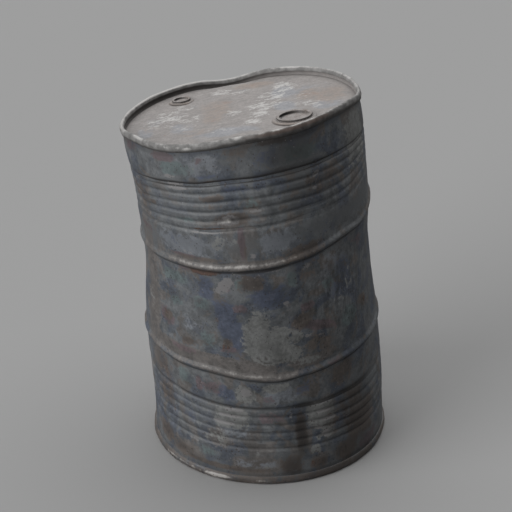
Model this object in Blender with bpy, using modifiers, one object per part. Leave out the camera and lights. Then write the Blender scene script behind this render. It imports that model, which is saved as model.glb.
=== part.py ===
"""A crushed 200 litre steel oil drum standing on its bottom chime.

The drum is made straight first: a ribbed body sheet with two rolling hoops, and two heads whose
edges hook over the ends of the body. Then one crush carries every point of that straight drum to
the bent one. The two bung sets sit square on the top head, in its part that stays flat.

Metres, +Z up. The origin is under the middle of the drum, on the ground.
"""
from dataclasses import dataclass
import math

import bmesh
import bpy
import numpy as np
from mathutils import Matrix, Vector

# Straight drum
HEIGHT = 0.880
BODY_RADIUS = 0.286
BODY_SHEET = 0.0012
HEAD_SHEET = 0.0012
STEPS_ROUND = 40
SHARP_DEGREES = 30.0
ROW_SPACING = 0.045

# Rolling hoops: the height of the lower crest, and how far the upper one is below the top
LOWER_HOOP_HEIGHT = 0.304
UPPER_HOOP_DROP = 0.280
UPPER_HOOP_HEIGHT = HEIGHT - UPPER_HOOP_DROP
HOOP_RISE = 0.0060
HOOP_HALF_WIDTH = 0.016

# Ribbed bands: the lower one starts above the foot, and the upper one below the top
GROOVE_COUNT = 6
GROOVE_DEPTH = 0.0035
GROOVE_HALF_SHARE = 0.28
LOWER_BAND_START = 0.0899
LOWER_BAND_PITCH = 0.0222
UPPER_BAND_DROP = 0.2070
UPPER_BAND_START = HEIGHT - UPPER_BAND_DROP
UPPER_BAND_PITCH = 0.0199

# Chimes, the rolled seams between body and heads
CHIME_OVERHANG = 0.0065
CHIME_RADIUS = BODY_RADIUS + CHIME_OVERHANG
CHIME_HEIGHT = 0.0215
CHIME_CROWN = 0.0030
CHIME_EDGE = 0.0025
ROLL_BULGE = 0.0030
ROLL_DEPTH = 0.0110
ROLL_SLOPE = 0.0035
PANEL_DEPTH = 0.021
PANEL_BEND = 0.004

# Shares of the head's sheet: how deep a boss's foot sinks into it, and how far its toe stands out
BOSS_SINK_SHARE = 0.75
BOSS_TOE_SHARE = 0.15

# Clearances
SEAM_GAP = 0.0003
SEAT_GAP = 0.0003
RUN_GAP = 0.0005
RING_GAP = 0.0006
SKIRT_GAP = 0.0018

# Parts of the drum that the crush leaves undistorted
FOOT_STIFF = 0.030
TOP_STIFF = 0.050
PANEL_FLEX_WIDTH = 0.034
PANEL_STIFF_RADIUS = BODY_RADIUS - PANEL_FLEX_WIDTH
PANEL_FLEX_MARGIN = 0.0013

# The bungs on the top head: distance from its middle and direction in degrees
LARGE_BUNG_INSET = 0.087
LARGE_BUNG_REACH = PANEL_STIFF_RADIUS - LARGE_BUNG_INSET
LARGE_BUNG_ANGLE = -38.0
SMALL_BUNG_INSET = 0.030
SMALL_BUNG_REACH = PANEL_STIFF_RADIUS - SMALL_BUNG_INSET
SMALL_BUNG_ANGLE = 133.0


@dataclass(frozen=True)
class BungSizes:
    """Sizes of one bung set, measured from the bung's axis and from the panel's upper face."""

    thread_radius: float
    thread_wall: float
    thread_length: float
    recess_radius: float
    recess_depth: float
    dish_wall: float
    ring_width: float
    ring_height: float
    ring_edge: float
    lug_width: float
    lug_reach: float
    lug_height: float
    gasket_height: float
    washer_height: float
    washer_width: float
    flange_wall: float
    flange_base: float
    flange_base_width: float
    flange_taper: float
    lip_width: float
    lip_sheet: float
    boss_height: float
    boss_margin: float
    boss_slope: float
    steps: int


LARGE_BUNG = BungSizes(
    thread_radius=0.0298,
    thread_wall=0.0032,
    thread_length=0.0160,
    recess_radius=0.0362,
    recess_depth=0.0070,
    dish_wall=0.0014,
    ring_width=0.0074,
    ring_height=0.0036,
    ring_edge=0.0009,
    lug_width=0.0080,
    lug_reach=0.0045,
    lug_height=0.0040,
    gasket_height=0.0034,
    washer_height=0.0015,
    washer_width=0.0045,
    flange_wall=0.0026,
    flange_base=0.0030,
    flange_base_width=0.0060,
    flange_taper=0.0015,
    lip_width=0.0024,
    lip_sheet=0.0012,
    boss_height=0.0040,
    boss_margin=0.0075,
    boss_slope=0.0030,
    steps=32,
)

SMALL_BUNG = BungSizes(
    thread_radius=0.0131,
    thread_wall=0.0026,
    thread_length=0.0120,
    recess_radius=0.0180,
    recess_depth=0.0050,
    dish_wall=0.0012,
    ring_width=0.0054,
    ring_height=0.0028,
    ring_edge=0.0007,
    lug_width=0.0050,
    lug_reach=0.0030,
    lug_height=0.0030,
    gasket_height=0.0028,
    washer_height=0.0012,
    washer_width=0.0029,
    flange_wall=0.0020,
    flange_base=0.0024,
    flange_base_width=0.0038,
    flange_taper=0.0012,
    lip_width=0.0018,
    lip_sheet=0.0012,
    boss_height=0.0030,
    boss_margin=0.0048,
    boss_slope=0.0022,
    steps=24,
)


@dataclass(frozen=True)
class Station:
    """How one level of the straight drum lies after the crush.

    sway_x, sway_y and lift move the level's middle, and lean_x and lean_y tip its axis towards +X
    and +Y in degrees. The oval terms change the radius twice round the drum, along the axes and
    along the diagonals, and the saddle terms lift and lower the edge in the same two ways.
    """

    level: float
    sway_x: float = 0.0
    sway_y: float = 0.0
    lift: float = 0.0
    lean_x: float = 0.0
    lean_y: float = 0.0
    oval: float = 0.0
    oval_diagonal: float = 0.0
    saddle: float = 0.0
    saddle_diagonal: float = 0.0


@dataclass(frozen=True)
class Buckle:
    """A local push that fades with the angle round the drum and with the level."""

    angle: float
    level: float
    half_angle: float
    half_height: float
    push: float


FOOT = Station(FOOT_STIFF, oval=0.0025, oval_diagonal=0.0040)
LOWER_HOOP = Station(
    LOWER_HOOP_HEIGHT,
    sway_x=-0.0205, sway_y=0.0050, lift=0.0020,
    lean_x=-2.4, lean_y=2.2,
    oval=0.0005, oval_diagonal=0.0010,
    saddle=0.0150, saddle_diagonal=0.0035,
)
UPPER_HOOP = Station(
    UPPER_HOOP_HEIGHT,
    sway_x=-0.0355, sway_y=0.0170, lift=-0.0010,
    lean_x=-9.6, lean_y=2.8,
    oval=-0.0045, oval_diagonal=0.0020,
    saddle=0.0070, saddle_diagonal=0.0065,
)
TOP = Station(
    HEIGHT - TOP_STIFF,
    sway_x=-0.0665, sway_y=0.0390, lift=-0.0050,
    lean_x=-8.3, lean_y=8.9,
    oval=0.0015, oval_diagonal=0.0040,
    saddle=-0.0010,
)
STATIONS = (FOOT, LOWER_HOOP, UPPER_HOOP, TOP)

RIM_LEVEL = HEIGHT - CHIME_HEIGHT / 2.0
RIM_FADE = 0.045
HOOP_FADE = 0.060

# Where the edge of the drum is pushed up or, with a minus sign, down
WAVES = (
    Buckle(-152.0, RIM_LEVEL, 15.0, RIM_FADE, 0.0105),
    Buckle(-86.0, RIM_LEVEL, 22.0, RIM_FADE, 0.0096),
    Buckle(-35.0, RIM_LEVEL, 34.0, RIM_FADE, 0.0142),
    Buckle(3.0, RIM_LEVEL, 16.0, RIM_FADE, -0.0084),
    Buckle(50.0, RIM_LEVEL, 26.0, RIM_FADE, 0.0055),
    Buckle(97.0, RIM_LEVEL, 13.0, RIM_FADE, -0.0125),
    Buckle(140.0, RIM_LEVEL, 24.0, RIM_FADE, 0.0030),
    Buckle(-113.0, LOWER_HOOP_HEIGHT, 14.0, HOOP_FADE, 0.0095),
    Buckle(-82.0, LOWER_HOOP_HEIGHT, 8.0, HOOP_FADE, -0.0035),
    Buckle(-22.0, LOWER_HOOP_HEIGHT, 12.0, HOOP_FADE, -0.0040),
    Buckle(-48.0, UPPER_HOOP_HEIGHT, 12.0, HOOP_FADE, 0.0065),
    Buckle(-22.0, UPPER_HOOP_HEIGHT, 12.0, HOOP_FADE, -0.0040),
)

# Where the wall is pushed in or, with a minus sign, out
WAIST = (LOWER_HOOP_HEIGHT + UPPER_HOOP_HEIGHT) / 2.0
DENTS = (
    Buckle(0.0, WAIST + 0.048, 40.0, 0.070, 0.0090),
    Buckle(0.0, WAIST - 0.052, 30.0, 0.060, 0.0070),
    Buckle(180.0, WAIST + 0.048, 40.0, 0.070, 0.0040),
    Buckle(180.0, WAIST - 0.032, 30.0, 0.060, 0.0020),
    Buckle(0.0, 0.200, 40.0, 0.100, -0.0022),
    Buckle(180.0, HEIGHT - 0.140, 40.0, 0.060, 0.0030),
    Buckle(-70.0, 0.150, 7.0, 0.075, 0.0070),
    Buckle(-75.0, WAIST - 0.012, 16.0, 0.060, 0.0040),
    Buckle(110.0, WAIST - 0.002, 24.0, 0.080, 0.0110),
    Buckle(60.0, 0.180, 16.0, 0.060, 0.0060),
)


def unit_axis(lean_x, lean_y):
    """Unit vector of an axis that is tipped from +Z by the two leans, in degrees."""
    tip = math.radians(math.hypot(lean_x, lean_y))
    if tip == 0.0:
        return Vector((0.0, 0.0, 1.0))
    towards = Vector((lean_x, lean_y, 0.0)).normalized()
    return towards * math.sin(tip) + Vector((0.0, 0.0, math.cos(tip)))


def station_rows():
    """One row per station: middle x, y, z, then lean, oval and saddle terms."""
    rows = []
    for one in STATIONS:
        middle = (one.sway_x, one.sway_y, one.level + one.lift)
        lean = (one.lean_x, one.lean_y)
        shape = (one.oval, one.oval_diagonal, one.saddle, one.saddle_diagonal)
        rows.append(middle + lean + shape)
    return np.array(rows)


def station_slopes(levels, rows):
    """Slope of each column at each station: central inside, along the axis at both ends."""
    slopes = np.zeros_like(rows)
    span = (levels[2:] - levels[:-2])[:, None]
    slopes[1:-1] = (rows[2:] - rows[:-2]) / span
    slopes[0, :3] = unit_axis(FOOT.lean_x, FOOT.lean_y)
    slopes[-1, :3] = unit_axis(TOP.lean_x, TOP.lean_y)
    return slopes


def lie_at(level):
    """Smooth cubic blend of the stations' rows at an array of levels."""
    levels = np.array([one.level for one in STATIONS])
    rows = station_rows()
    slopes = station_slopes(levels, rows)
    low = np.clip(np.searchsorted(levels, level, side="right") - 1, 0, len(levels) - 2)
    span = (levels[low + 1] - levels[low])[:, None]
    t = (level - levels[low])[:, None] / span
    start = (2.0 * t**3 - 3.0 * t**2 + 1.0) * rows[low]
    leave = (t**3 - 2.0 * t**2 + t) * span * slopes[low]
    end = (3.0 * t**2 - 2.0 * t**3) * rows[low + 1]
    arrive = (t**3 - t**2) * span * slopes[low + 1]
    return start + leave + end + arrive


def pushes(buckles, degrees, level):
    """Sum of the buckles at each point: each is a bell in angle times a bell in level."""
    total = np.zeros_like(level)
    for one in buckles:
        turn = (degrees - one.angle + 180.0) % 360.0 - 180.0
        across = turn / one.half_angle
        along = (level - one.level) / one.half_height
        total += one.push * np.exp(-across**2 - along**2)
    return total


def crush(points):
    """Carry points of the straight drum to the crushed one.

    Each level is made oval and dented, its edge is lifted and lowered, and then the whole level
    is tipped with its axis and moved to its place. The flat middles of the heads and the stiff
    ends keep their shape and only move.
    """
    radius = np.hypot(points[:, 0], points[:, 1])
    angle = np.arctan2(points[:, 1], points[:, 0])
    level = points[:, 2]
    guide = np.clip(level, FOOT_STIFF, HEIGHT - TOP_STIFF)
    x, y, z, lean_x, lean_y, oval, oval_diagonal, saddle, saddle_diagonal = lie_at(guide).T

    flex_end = BODY_RADIUS - BODY_SHEET - SEAM_GAP - HEAD_SHEET - PANEL_FLEX_MARGIN
    flex = np.clip((radius - PANEL_STIFF_RADIUS) / (flex_end - PANEL_STIFF_RADIUS), 0.0, 1.0)
    flex = flex * flex * (3.0 - 2.0 * flex)
    degrees = np.degrees(angle)
    twice = 2.0 * angle
    outwards = oval * np.cos(twice) + oval_diagonal * np.sin(twice) - pushes(DENTS, degrees, level)
    upwards = saddle * np.cos(twice) + saddle_diagonal * np.sin(twice) + pushes(WAVES, degrees, level)

    reach = radius + flex * outwards
    rise = level - guide + flex * upwards
    flat_x = reach * np.cos(angle)
    flat_y = reach * np.sin(angle)
    lean = np.hypot(lean_x, lean_y)
    upright = lean < 1e-9
    scale = np.where(upright, 1.0, lean)
    towards_x = np.where(upright, 1.0, lean_x / scale)
    towards_y = np.where(upright, 0.0, lean_y / scale)
    tip = np.radians(lean)
    along = flat_x * towards_x + flat_y * towards_y
    aside = flat_y * towards_x - flat_x * towards_y
    tipped = along * np.cos(tip) + rise * np.sin(tip)
    risen = rise * np.cos(tip) - along * np.sin(tip)
    out_x = x + tipped * towards_x - aside * towards_y
    out_y = y + tipped * towards_y + aside * towards_x
    return np.column_stack((out_x, out_y, z + risen))


def top_frame():
    """Matrix of the top head's stiff part: from the straight drum's axis at TOP to its place."""
    middle = Vector((TOP.sway_x, TOP.sway_y, TOP.level + TOP.lift))
    turn = Vector((0.0, 0.0, 1.0)).rotation_difference(unit_axis(TOP.lean_x, TOP.lean_y))
    return Matrix.Translation(middle) @ turn.to_matrix().to_4x4()


# Scene helpers

def clear_scene():
    """Remove every object, so that the drum stands alone."""
    for item in list(bpy.data.objects):
        bpy.data.objects.remove(item, do_unlink=True)


def new_collection(name):
    """Make a collection and link it to the scene."""
    group = bpy.data.collections.new(name)
    bpy.context.scene.collection.children.link(group)
    return group


def new_material(name, color, roughness, metallic):
    """A Principled material."""
    made = bpy.data.materials.new(name)
    made.use_nodes = True
    shader = made.node_tree.nodes["Principled BSDF"]
    shader.inputs["Base Color"].default_value = (*color, 1.0)
    shader.inputs["Roughness"].default_value = roughness
    shader.inputs["Metallic"].default_value = metallic
    return made


def turned(name, group, profile, steps, closed):
    """Turn a profile of (radius, height) points round Z with a Screw modifier.

    The profile starts at the top and runs down its outer side. A closed one goes back up inside.
    """
    count = len(profile)
    edges = [(i, i + 1) for i in range(count - 1)]
    if closed:
        edges.append((count - 1, 0))
    mesh = bpy.data.meshes.new(name)
    mesh.from_pydata([(radius, 0.0, height) for radius, height in profile], edges, [])
    item = bpy.data.objects.new(name, mesh)
    group.objects.link(item)
    screw = item.modifiers.new("turn", "SCREW")
    screw.axis = "Z"
    screw.steps = steps
    screw.render_steps = steps
    screw.use_merge_vertices = True
    screw.merge_threshold = 0.0001
    return item


def applied(item):
    """Replace an object's mesh by its evaluated one and drop its modifiers."""
    graph = bpy.context.evaluated_depsgraph_get()
    mesh = bpy.data.meshes.new_from_object(item.evaluated_get(graph))
    item.modifiers.clear()
    item.data = mesh
    return item


def add_boolean(item, other, operation):
    """Cut or join with another object, using the exact solver."""
    step = item.modifiers.new(operation.lower(), "BOOLEAN")
    step.operation = operation
    step.solver = "EXACT"
    step.object = other


def make_cutter(item):
    """Mark an object as a cutter, which is neither rendered nor part of the drum."""
    item.hide_render = True
    item.display_type = "WIRE"


def moved_by_crush(item, shift):
    """Crush an object's points, then shift them so that the origin is under the middle."""
    mesh = item.data
    flat = np.empty(len(mesh.vertices) * 3, dtype=np.float32)
    mesh.vertices.foreach_get("co", flat)
    points = crush(flat.reshape(-1, 3).astype(np.float64)) + shift
    mesh.vertices.foreach_set("co", points.astype(np.float32).ravel())
    mesh.update()


def finish(item, material):
    """Give an object its material and smooth round faces with sharp edges."""
    item.data.materials.clear()
    item.data.materials.append(material)
    item.data.shade_smooth()
    item.data.set_sharp_from_angle(angle=math.radians(SHARP_DEGREES))


# Profiles of the straight drum

def band_points(start, pitch):
    """A band of V-shaped grooves with flat ridges between them, from its lower edge up."""
    points = [(BODY_RADIUS, start)]
    reach = GROOVE_HALF_SHARE * pitch
    for index in range(GROOVE_COUNT):
        middle = start + (index + 0.5) * pitch
        points.append((BODY_RADIUS, middle - reach))
        points.append((BODY_RADIUS - GROOVE_DEPTH, middle))
        points.append((BODY_RADIUS, middle + reach))
    points.append((BODY_RADIUS, start + GROOVE_COUNT * pitch))
    return points


def hoop_points(height):
    """A rolling hoop: a half wave out of the wall, with its crest at the height."""
    points = []
    for share in (-1.0, -0.5, 0.0, 0.5, 1.0):
        rise = HOOP_RISE * (1.0 + math.cos(math.pi * share)) / 2.0
        points.append((BODY_RADIUS + rise, height + share * HOOP_HALF_WIDTH))
    return points


def plain_points(low, high):
    """Evenly spaced points of plain wall between two levels, both left out."""
    count = math.ceil((high - low) / ROW_SPACING)
    step = (high - low) / count
    return [(BODY_RADIUS, low + index * step) for index in range(1, count)]


def body_profile():
    """Outer side of the body sheet, from its upper end down to its lower one."""
    end = CHIME_CROWN + SEAM_GAP
    lower_band_end = LOWER_BAND_START + GROOVE_COUNT * LOWER_BAND_PITCH
    upper_band_end = UPPER_BAND_START + GROOVE_COUNT * UPPER_BAND_PITCH
    lower_hoop_end = LOWER_HOOP_HEIGHT + HOOP_HALF_WIDTH
    upper_hoop_start = UPPER_HOOP_HEIGHT - HOOP_HALF_WIDTH
    rising = [(BODY_RADIUS, end), (BODY_RADIUS, CHIME_HEIGHT)]
    rising += plain_points(CHIME_HEIGHT, LOWER_BAND_START)
    rising += band_points(LOWER_BAND_START, LOWER_BAND_PITCH)
    rising += plain_points(lower_band_end, LOWER_HOOP_HEIGHT - HOOP_HALF_WIDTH)
    rising += hoop_points(LOWER_HOOP_HEIGHT)
    rising += plain_points(lower_hoop_end, upper_hoop_start)
    rising += hoop_points(UPPER_HOOP_HEIGHT)
    rising += plain_points(UPPER_HOOP_HEIGHT + HOOP_HALF_WIDTH, UPPER_BAND_START)
    rising += band_points(UPPER_BAND_START, UPPER_BAND_PITCH)
    rising += plain_points(upper_band_end, HEIGHT - CHIME_HEIGHT)
    rising += [(BODY_RADIUS, HEIGHT - CHIME_HEIGHT), (BODY_RADIUS, HEIGHT - end)]
    rising.reverse()
    return rising


def head_profile():
    """Section of the top head: panel, wall inside the body, and hook over the body's end.

    The chime's roll bulges inwards over the wall. Heights are below the chime's edge, so they are
    negative. The panel's upper face comes first.
    """
    wall_outside = BODY_RADIUS - BODY_SHEET - SEAM_GAP
    wall_inside = wall_outside - HEAD_SHEET
    roll_inside = wall_inside - ROLL_BULGE
    hook_inside = BODY_RADIUS + SEAM_GAP
    flex_middle = (PANEL_STIFF_RADIUS + wall_inside - PANEL_BEND) / 2.0
    under = -PANEL_DEPTH - HEAD_SHEET
    return [
        (0.0, -PANEL_DEPTH),
        (PANEL_STIFF_RADIUS, -PANEL_DEPTH),
        (flex_middle, -PANEL_DEPTH),
        (wall_inside - PANEL_BEND, -PANEL_DEPTH),
        (wall_inside, -PANEL_DEPTH + PANEL_BEND),
        (wall_inside, -ROLL_DEPTH - ROLL_SLOPE),
        (roll_inside, -ROLL_DEPTH),
        (roll_inside, -CHIME_EDGE),
        (roll_inside + CHIME_EDGE, 0.0),
        (CHIME_RADIUS - CHIME_EDGE, 0.0),
        (CHIME_RADIUS, -CHIME_EDGE),
        (CHIME_RADIUS, -CHIME_HEIGHT + CHIME_EDGE),
        (CHIME_RADIUS - CHIME_EDGE, -CHIME_HEIGHT),
        (hook_inside, -CHIME_HEIGHT),
        (hook_inside, -CHIME_CROWN),
        (wall_outside, -CHIME_CROWN),
        (wall_outside, -PANEL_DEPTH + PANEL_BEND),
        (wall_inside - PANEL_BEND, under),
        (flex_middle, under),
        (PANEL_STIFF_RADIUS, under),
        (0.0, under),
    ]


# Derived sizes of a bung set

def dish_radius(sizes):
    """Outside of the plug's dish."""
    return sizes.recess_radius + sizes.dish_wall


def well_radius(sizes):
    """Inside of the flange's well, which the plug's dish sinks into."""
    return dish_radius(sizes) + RUN_GAP


def neck_radius(sizes):
    """Outside of the flange's neck, where it passes through the panel."""
    return well_radius(sizes) + sizes.flange_wall


def hole_radius(sizes):
    """The hole in the panel's boss."""
    return neck_radius(sizes) + SEAT_GAP


def lip_radius(sizes):
    """Outside of the flange's lip, which is curled over the boss."""
    return neck_radius(sizes) + sizes.lip_width


def boss_radius(sizes):
    """Edge of the boss's flat top."""
    return hole_radius(sizes) + sizes.boss_margin + sizes.lip_width


def lip_top(sizes):
    """Height of the flange's lip."""
    return sizes.boss_height + SEAT_GAP + sizes.lip_sheet


def ring_top(sizes):
    """Height of the plug's ring."""
    return lip_top(sizes) + RING_GAP + sizes.ring_height


def dish_bottom(sizes):
    """Height of the underside of the plug's dish."""
    return ring_top(sizes) - sizes.recess_depth - sizes.dish_wall


def seat_height(sizes):
    """Height of the well's floor, where the plug's gasket lies."""
    return dish_bottom(sizes) - 2.0 * SEAT_GAP - sizes.gasket_height


def base_top(sizes):
    """Upper face of the flange's base, under the washer and the panel."""
    return sizes.boss_height - HEAD_SHEET - 2.0 * SEAT_GAP - sizes.washer_height


def boss_profile(sizes):
    """Section of the raised boss, as thick as the head, with its foot sunk in the panel."""
    foot = boss_radius(sizes) + sizes.boss_slope
    root = -BOSS_SINK_SHARE * HEAD_SHEET
    inside = sizes.boss_height - HEAD_SHEET
    return [
        (hole_radius(sizes), sizes.boss_height),
        (boss_radius(sizes), sizes.boss_height),
        (foot, BOSS_TOE_SHARE * HEAD_SHEET),
        (foot + HEAD_SHEET, root),
        (foot - HEAD_SHEET, root),
        (boss_radius(sizes) - HEAD_SHEET, inside),
        (hole_radius(sizes), inside),
    ]


def flange_profile(sizes):
    """Section of the threaded flange: lip, neck, base under the panel, and threaded spout."""
    top = lip_top(sizes)
    seat = seat_height(sizes)
    under = sizes.boss_height + SEAT_GAP
    base = base_top(sizes)
    bore = sizes.thread_radius + RUN_GAP
    spout = bore + sizes.flange_wall
    bottom = seat - sizes.thread_length
    base_radius = neck_radius(sizes) + sizes.flange_base_width
    return [
        (well_radius(sizes), top),
        (lip_radius(sizes), top),
        (lip_radius(sizes), under),
        (neck_radius(sizes), under),
        (neck_radius(sizes), base),
        (base_radius, base),
        (base_radius, base - sizes.flange_base),
        (neck_radius(sizes), seat - sizes.flange_base),
        (spout, seat - sizes.flange_base - sizes.flange_taper),
        (spout, bottom),
        (bore, bottom),
        (bore, seat),
        (well_radius(sizes), seat),
    ]


def washer_profile(sizes):
    """Section of the rubber washer between the flange's base and the panel."""
    low = base_top(sizes) + SEAT_GAP
    inner = neck_radius(sizes) + SEAT_GAP
    outer = inner + sizes.washer_width
    high = low + sizes.washer_height
    return [(inner, high), (outer, high), (outer, low), (inner, low)]


def gasket_profile(sizes):
    """Section of the plug's own gasket, under its dish and round its thread."""
    low = seat_height(sizes) + SEAT_GAP
    high = low + sizes.gasket_height
    inner = sizes.thread_radius + SEAT_GAP
    outer = well_radius(sizes) - RUN_GAP
    return [(inner, high), (outer, high), (outer, low), (inner, low)]


def plug_profile(sizes):
    """Section of the plug: floor, recess wall, ring, dish and threaded skirt."""
    floor = ring_top(sizes) - sizes.recess_depth
    top = ring_top(sizes)
    ring = sizes.recess_radius + sizes.ring_width
    edge = sizes.ring_edge
    under = top - sizes.ring_height
    dish = dish_bottom(sizes)
    skirt = seat_height(sizes) - sizes.thread_length + SKIRT_GAP
    return [
        (0.0, floor),
        (sizes.recess_radius, floor),
        (sizes.recess_radius, top - edge),
        (sizes.recess_radius + edge, top),
        (ring - edge, top),
        (ring, top - edge),
        (ring, under),
        (dish_radius(sizes), under),
        (dish_radius(sizes), dish),
        (sizes.thread_radius, dish),
        (sizes.thread_radius, skirt),
        (sizes.thread_radius - sizes.thread_wall, skirt),
        (sizes.thread_radius - sizes.thread_wall, dish),
        (0.0, dish),
    ]


# The pieces

def make_body(group, material):
    """The body sheet: an open turned wall that Solidify makes as thick as the sheet, inwards."""
    item = turned("body_shell", group, body_profile(), STEPS_ROUND, closed=False)
    wall = item.modifiers.new("sheet", "SOLIDIFY")
    wall.thickness = BODY_SHEET
    wall.offset = -1.0
    wall.use_even_offset = True
    applied(item)
    finish(item, material)
    return item


def bung_place(reach, angle):
    """Where a bung's axis crosses the straight top head's panel."""
    turn = math.radians(angle)
    height = HEIGHT - PANEL_DEPTH
    return Vector((reach * math.cos(turn), reach * math.sin(turn), height))


def at_place(item, place):
    """Move a straight piece's mesh, before the crush."""
    item.data.transform(Matrix.Translation(place))


def boss_on(head, cutters, name, sizes, place):
    """Cut the panel under a boss and join the raised boss to it."""
    foot = boss_radius(sizes) + sizes.boss_slope
    column = [(0.0, PANEL_DEPTH), (foot, PANEL_DEPTH), (foot, -PANEL_DEPTH), (0.0, -PANEL_DEPTH)]
    cutter = applied(turned(name + "_cutter", cutters, column, sizes.steps, closed=False))
    boss = applied(turned(name + "_boss", cutters, boss_profile(sizes), sizes.steps, closed=True))
    for item, operation in ((cutter, "DIFFERENCE"), (boss, "UNION")):
        at_place(item, place)
        make_cutter(item)
        add_boolean(head, item, operation)


def make_top_head(group, cutters, material):
    """The top head, with a raised boss and a hole for each bung."""
    profile = [(radius, HEIGHT + height) for radius, height in head_profile()]
    item = turned("top_head", group, profile, STEPS_ROUND, closed=False)
    boss_on(item, cutters, "large", LARGE_BUNG, bung_place(LARGE_BUNG_REACH, LARGE_BUNG_ANGLE))
    boss_on(item, cutters, "small", SMALL_BUNG, bung_place(SMALL_BUNG_REACH, SMALL_BUNG_ANGLE))
    applied(item)
    finish(item, material)
    return item


def make_bottom_head(group, material):
    """The bottom head, which is the top one upside down and with no bungs."""
    profile = [(radius, -height) for radius, height in head_profile()]
    profile.reverse()
    item = turned("bottom_head", group, profile, STEPS_ROUND, closed=False)
    applied(item)
    finish(item, material)
    return item


def add_lugs(item, cutters, sizes):
    """Join two lugs to the recess of a plug, which a bung wrench turns."""
    floor = ring_top(sizes) - sizes.recess_depth
    sink = sizes.dish_wall / 2.0
    inner = sizes.recess_radius - sizes.lug_reach
    outer = sizes.recess_radius + sink
    for side, label in ((-1.0, "left"), (1.0, "right")):
        mesh = bpy.data.meshes.new(item.name + "_lug_" + label)
        form = bmesh.new()
        bmesh.ops.create_cube(form, size=1.0)
        size = (outer - inner, sizes.lug_width, sizes.lug_height + sink)
        bmesh.ops.scale(form, vec=size, verts=form.verts)
        middle = (side * (inner + outer) / 2.0, 0.0, floor + (sizes.lug_height - sink) / 2.0)
        bmesh.ops.translate(form, vec=middle, verts=form.verts)
        form.to_mesh(mesh)
        form.free()
        lug = bpy.data.objects.new(mesh.name, mesh)
        cutters.objects.link(lug)
        make_cutter(lug)
        add_boolean(item, lug, "UNION")


def make_bung(group, cutters, name, sizes, frame, materials):
    """One bung set, square on the head: flange, washer, gasket and plug."""
    axis = bpy.data.objects.new(name + "_bung_axis", None)
    group.objects.link(axis)
    axis.matrix_world = frame
    pieces = (
        (name + "_bung_flange", flange_profile(sizes), True, "flange"),
        (name + "_flange_washer", washer_profile(sizes), True, "rubber"),
        (name + "_plug_gasket", gasket_profile(sizes), True, "rubber"),
        (name + "_bung_plug", plug_profile(sizes), False, "plug"),
    )
    for node, profile, closed, kind in pieces:
        item = turned(node, group, profile, sizes.steps, closed)
        if kind == "plug":
            add_lugs(item, cutters, sizes)
        applied(item)
        finish(item, materials[kind])
        item.parent = axis


def drum_shift(items):
    """Move that puts the middle of the crushed drum's box over the origin, on the ground."""
    flat = [np.array([corner.co for corner in item.data.vertices]) for item in items]
    points = crush(np.concatenate(flat))
    low = points.min(axis=0)
    high = points.max(axis=0)
    return np.array((-(low[0] + high[0]) / 2.0, -(low[1] + high[1]) / 2.0, -low[2]))


def main():
    """Build the straight drum, crush it, and set the bungs on its top head."""
    clear_scene()
    group = new_collection("oil_drum")
    cutters = new_collection("cutters")
    paint = new_material("faded_slate_paint", (0.085, 0.095, 0.105), 0.62, 0.15)
    head_paint = new_material("weathered_head", (0.30, 0.275, 0.255), 0.70, 0.10)
    materials = {
        "flange": new_material("galvanised_flange", (0.22, 0.20, 0.19), 0.55, 0.70),
        "plug": new_material("galvanised_plug", (0.28, 0.26, 0.24), 0.55, 0.60),
        "rubber": new_material("bung_rubber", (0.03, 0.03, 0.03), 0.80, 0.0),
    }
    body = make_body(group, paint)
    top_head = make_top_head(group, cutters, head_paint)
    bottom_head = make_bottom_head(group, head_paint)
    drum = (body, top_head, bottom_head)
    shift = drum_shift(drum)
    for item in drum:
        moved_by_crush(item, shift)

    stiff = Matrix.Translation(Vector(shift)) @ top_frame() @ Matrix.Translation((0.0, 0.0, -TOP.level))
    large = bung_place(LARGE_BUNG_REACH, LARGE_BUNG_ANGLE)
    small = bung_place(SMALL_BUNG_REACH, SMALL_BUNG_ANGLE)
    make_bung(group, cutters, "large", LARGE_BUNG, stiff @ Matrix.Translation(large), materials)
    make_bung(group, cutters, "small", SMALL_BUNG, stiff @ Matrix.Translation(small), materials)


main()
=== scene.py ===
"""Looks of a crushed 200 litre steel oil barrel: fine meshes, worn finishes, floor, light, camera.

Each mesh is made as part of the straight barrel first, and the crush then carries its points to
the bent one, as it does in the frame's solids. Lengths are metres and angles are degrees, unless
a name says otherwise. Angles are counted round the barrel from +X, and levels up from its foot.
"""
import logging
import math
from dataclasses import dataclass
from enum import Enum
from functools import reduce
from typing import Callable

import bpy
import numpy as np
from mathutils import Matrix, Vector


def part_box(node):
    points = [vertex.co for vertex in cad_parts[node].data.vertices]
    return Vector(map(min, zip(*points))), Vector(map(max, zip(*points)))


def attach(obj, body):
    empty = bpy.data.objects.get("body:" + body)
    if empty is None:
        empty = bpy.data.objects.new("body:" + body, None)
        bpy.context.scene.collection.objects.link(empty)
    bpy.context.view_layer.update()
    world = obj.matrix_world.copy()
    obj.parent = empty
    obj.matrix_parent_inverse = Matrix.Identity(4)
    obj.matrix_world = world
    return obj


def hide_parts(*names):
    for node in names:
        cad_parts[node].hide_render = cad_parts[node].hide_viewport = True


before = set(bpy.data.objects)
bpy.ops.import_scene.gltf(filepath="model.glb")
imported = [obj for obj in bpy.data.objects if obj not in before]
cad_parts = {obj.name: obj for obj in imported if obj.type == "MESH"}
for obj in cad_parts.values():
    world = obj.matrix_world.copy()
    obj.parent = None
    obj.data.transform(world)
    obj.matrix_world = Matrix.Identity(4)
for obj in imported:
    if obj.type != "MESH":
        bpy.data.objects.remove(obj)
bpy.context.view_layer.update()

log = logging.getLogger("barrel")
Color = tuple[float, float, float]
Array = np.ndarray
Socket = bpy.types.NodeSocket
Value = Socket | Color | float

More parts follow.
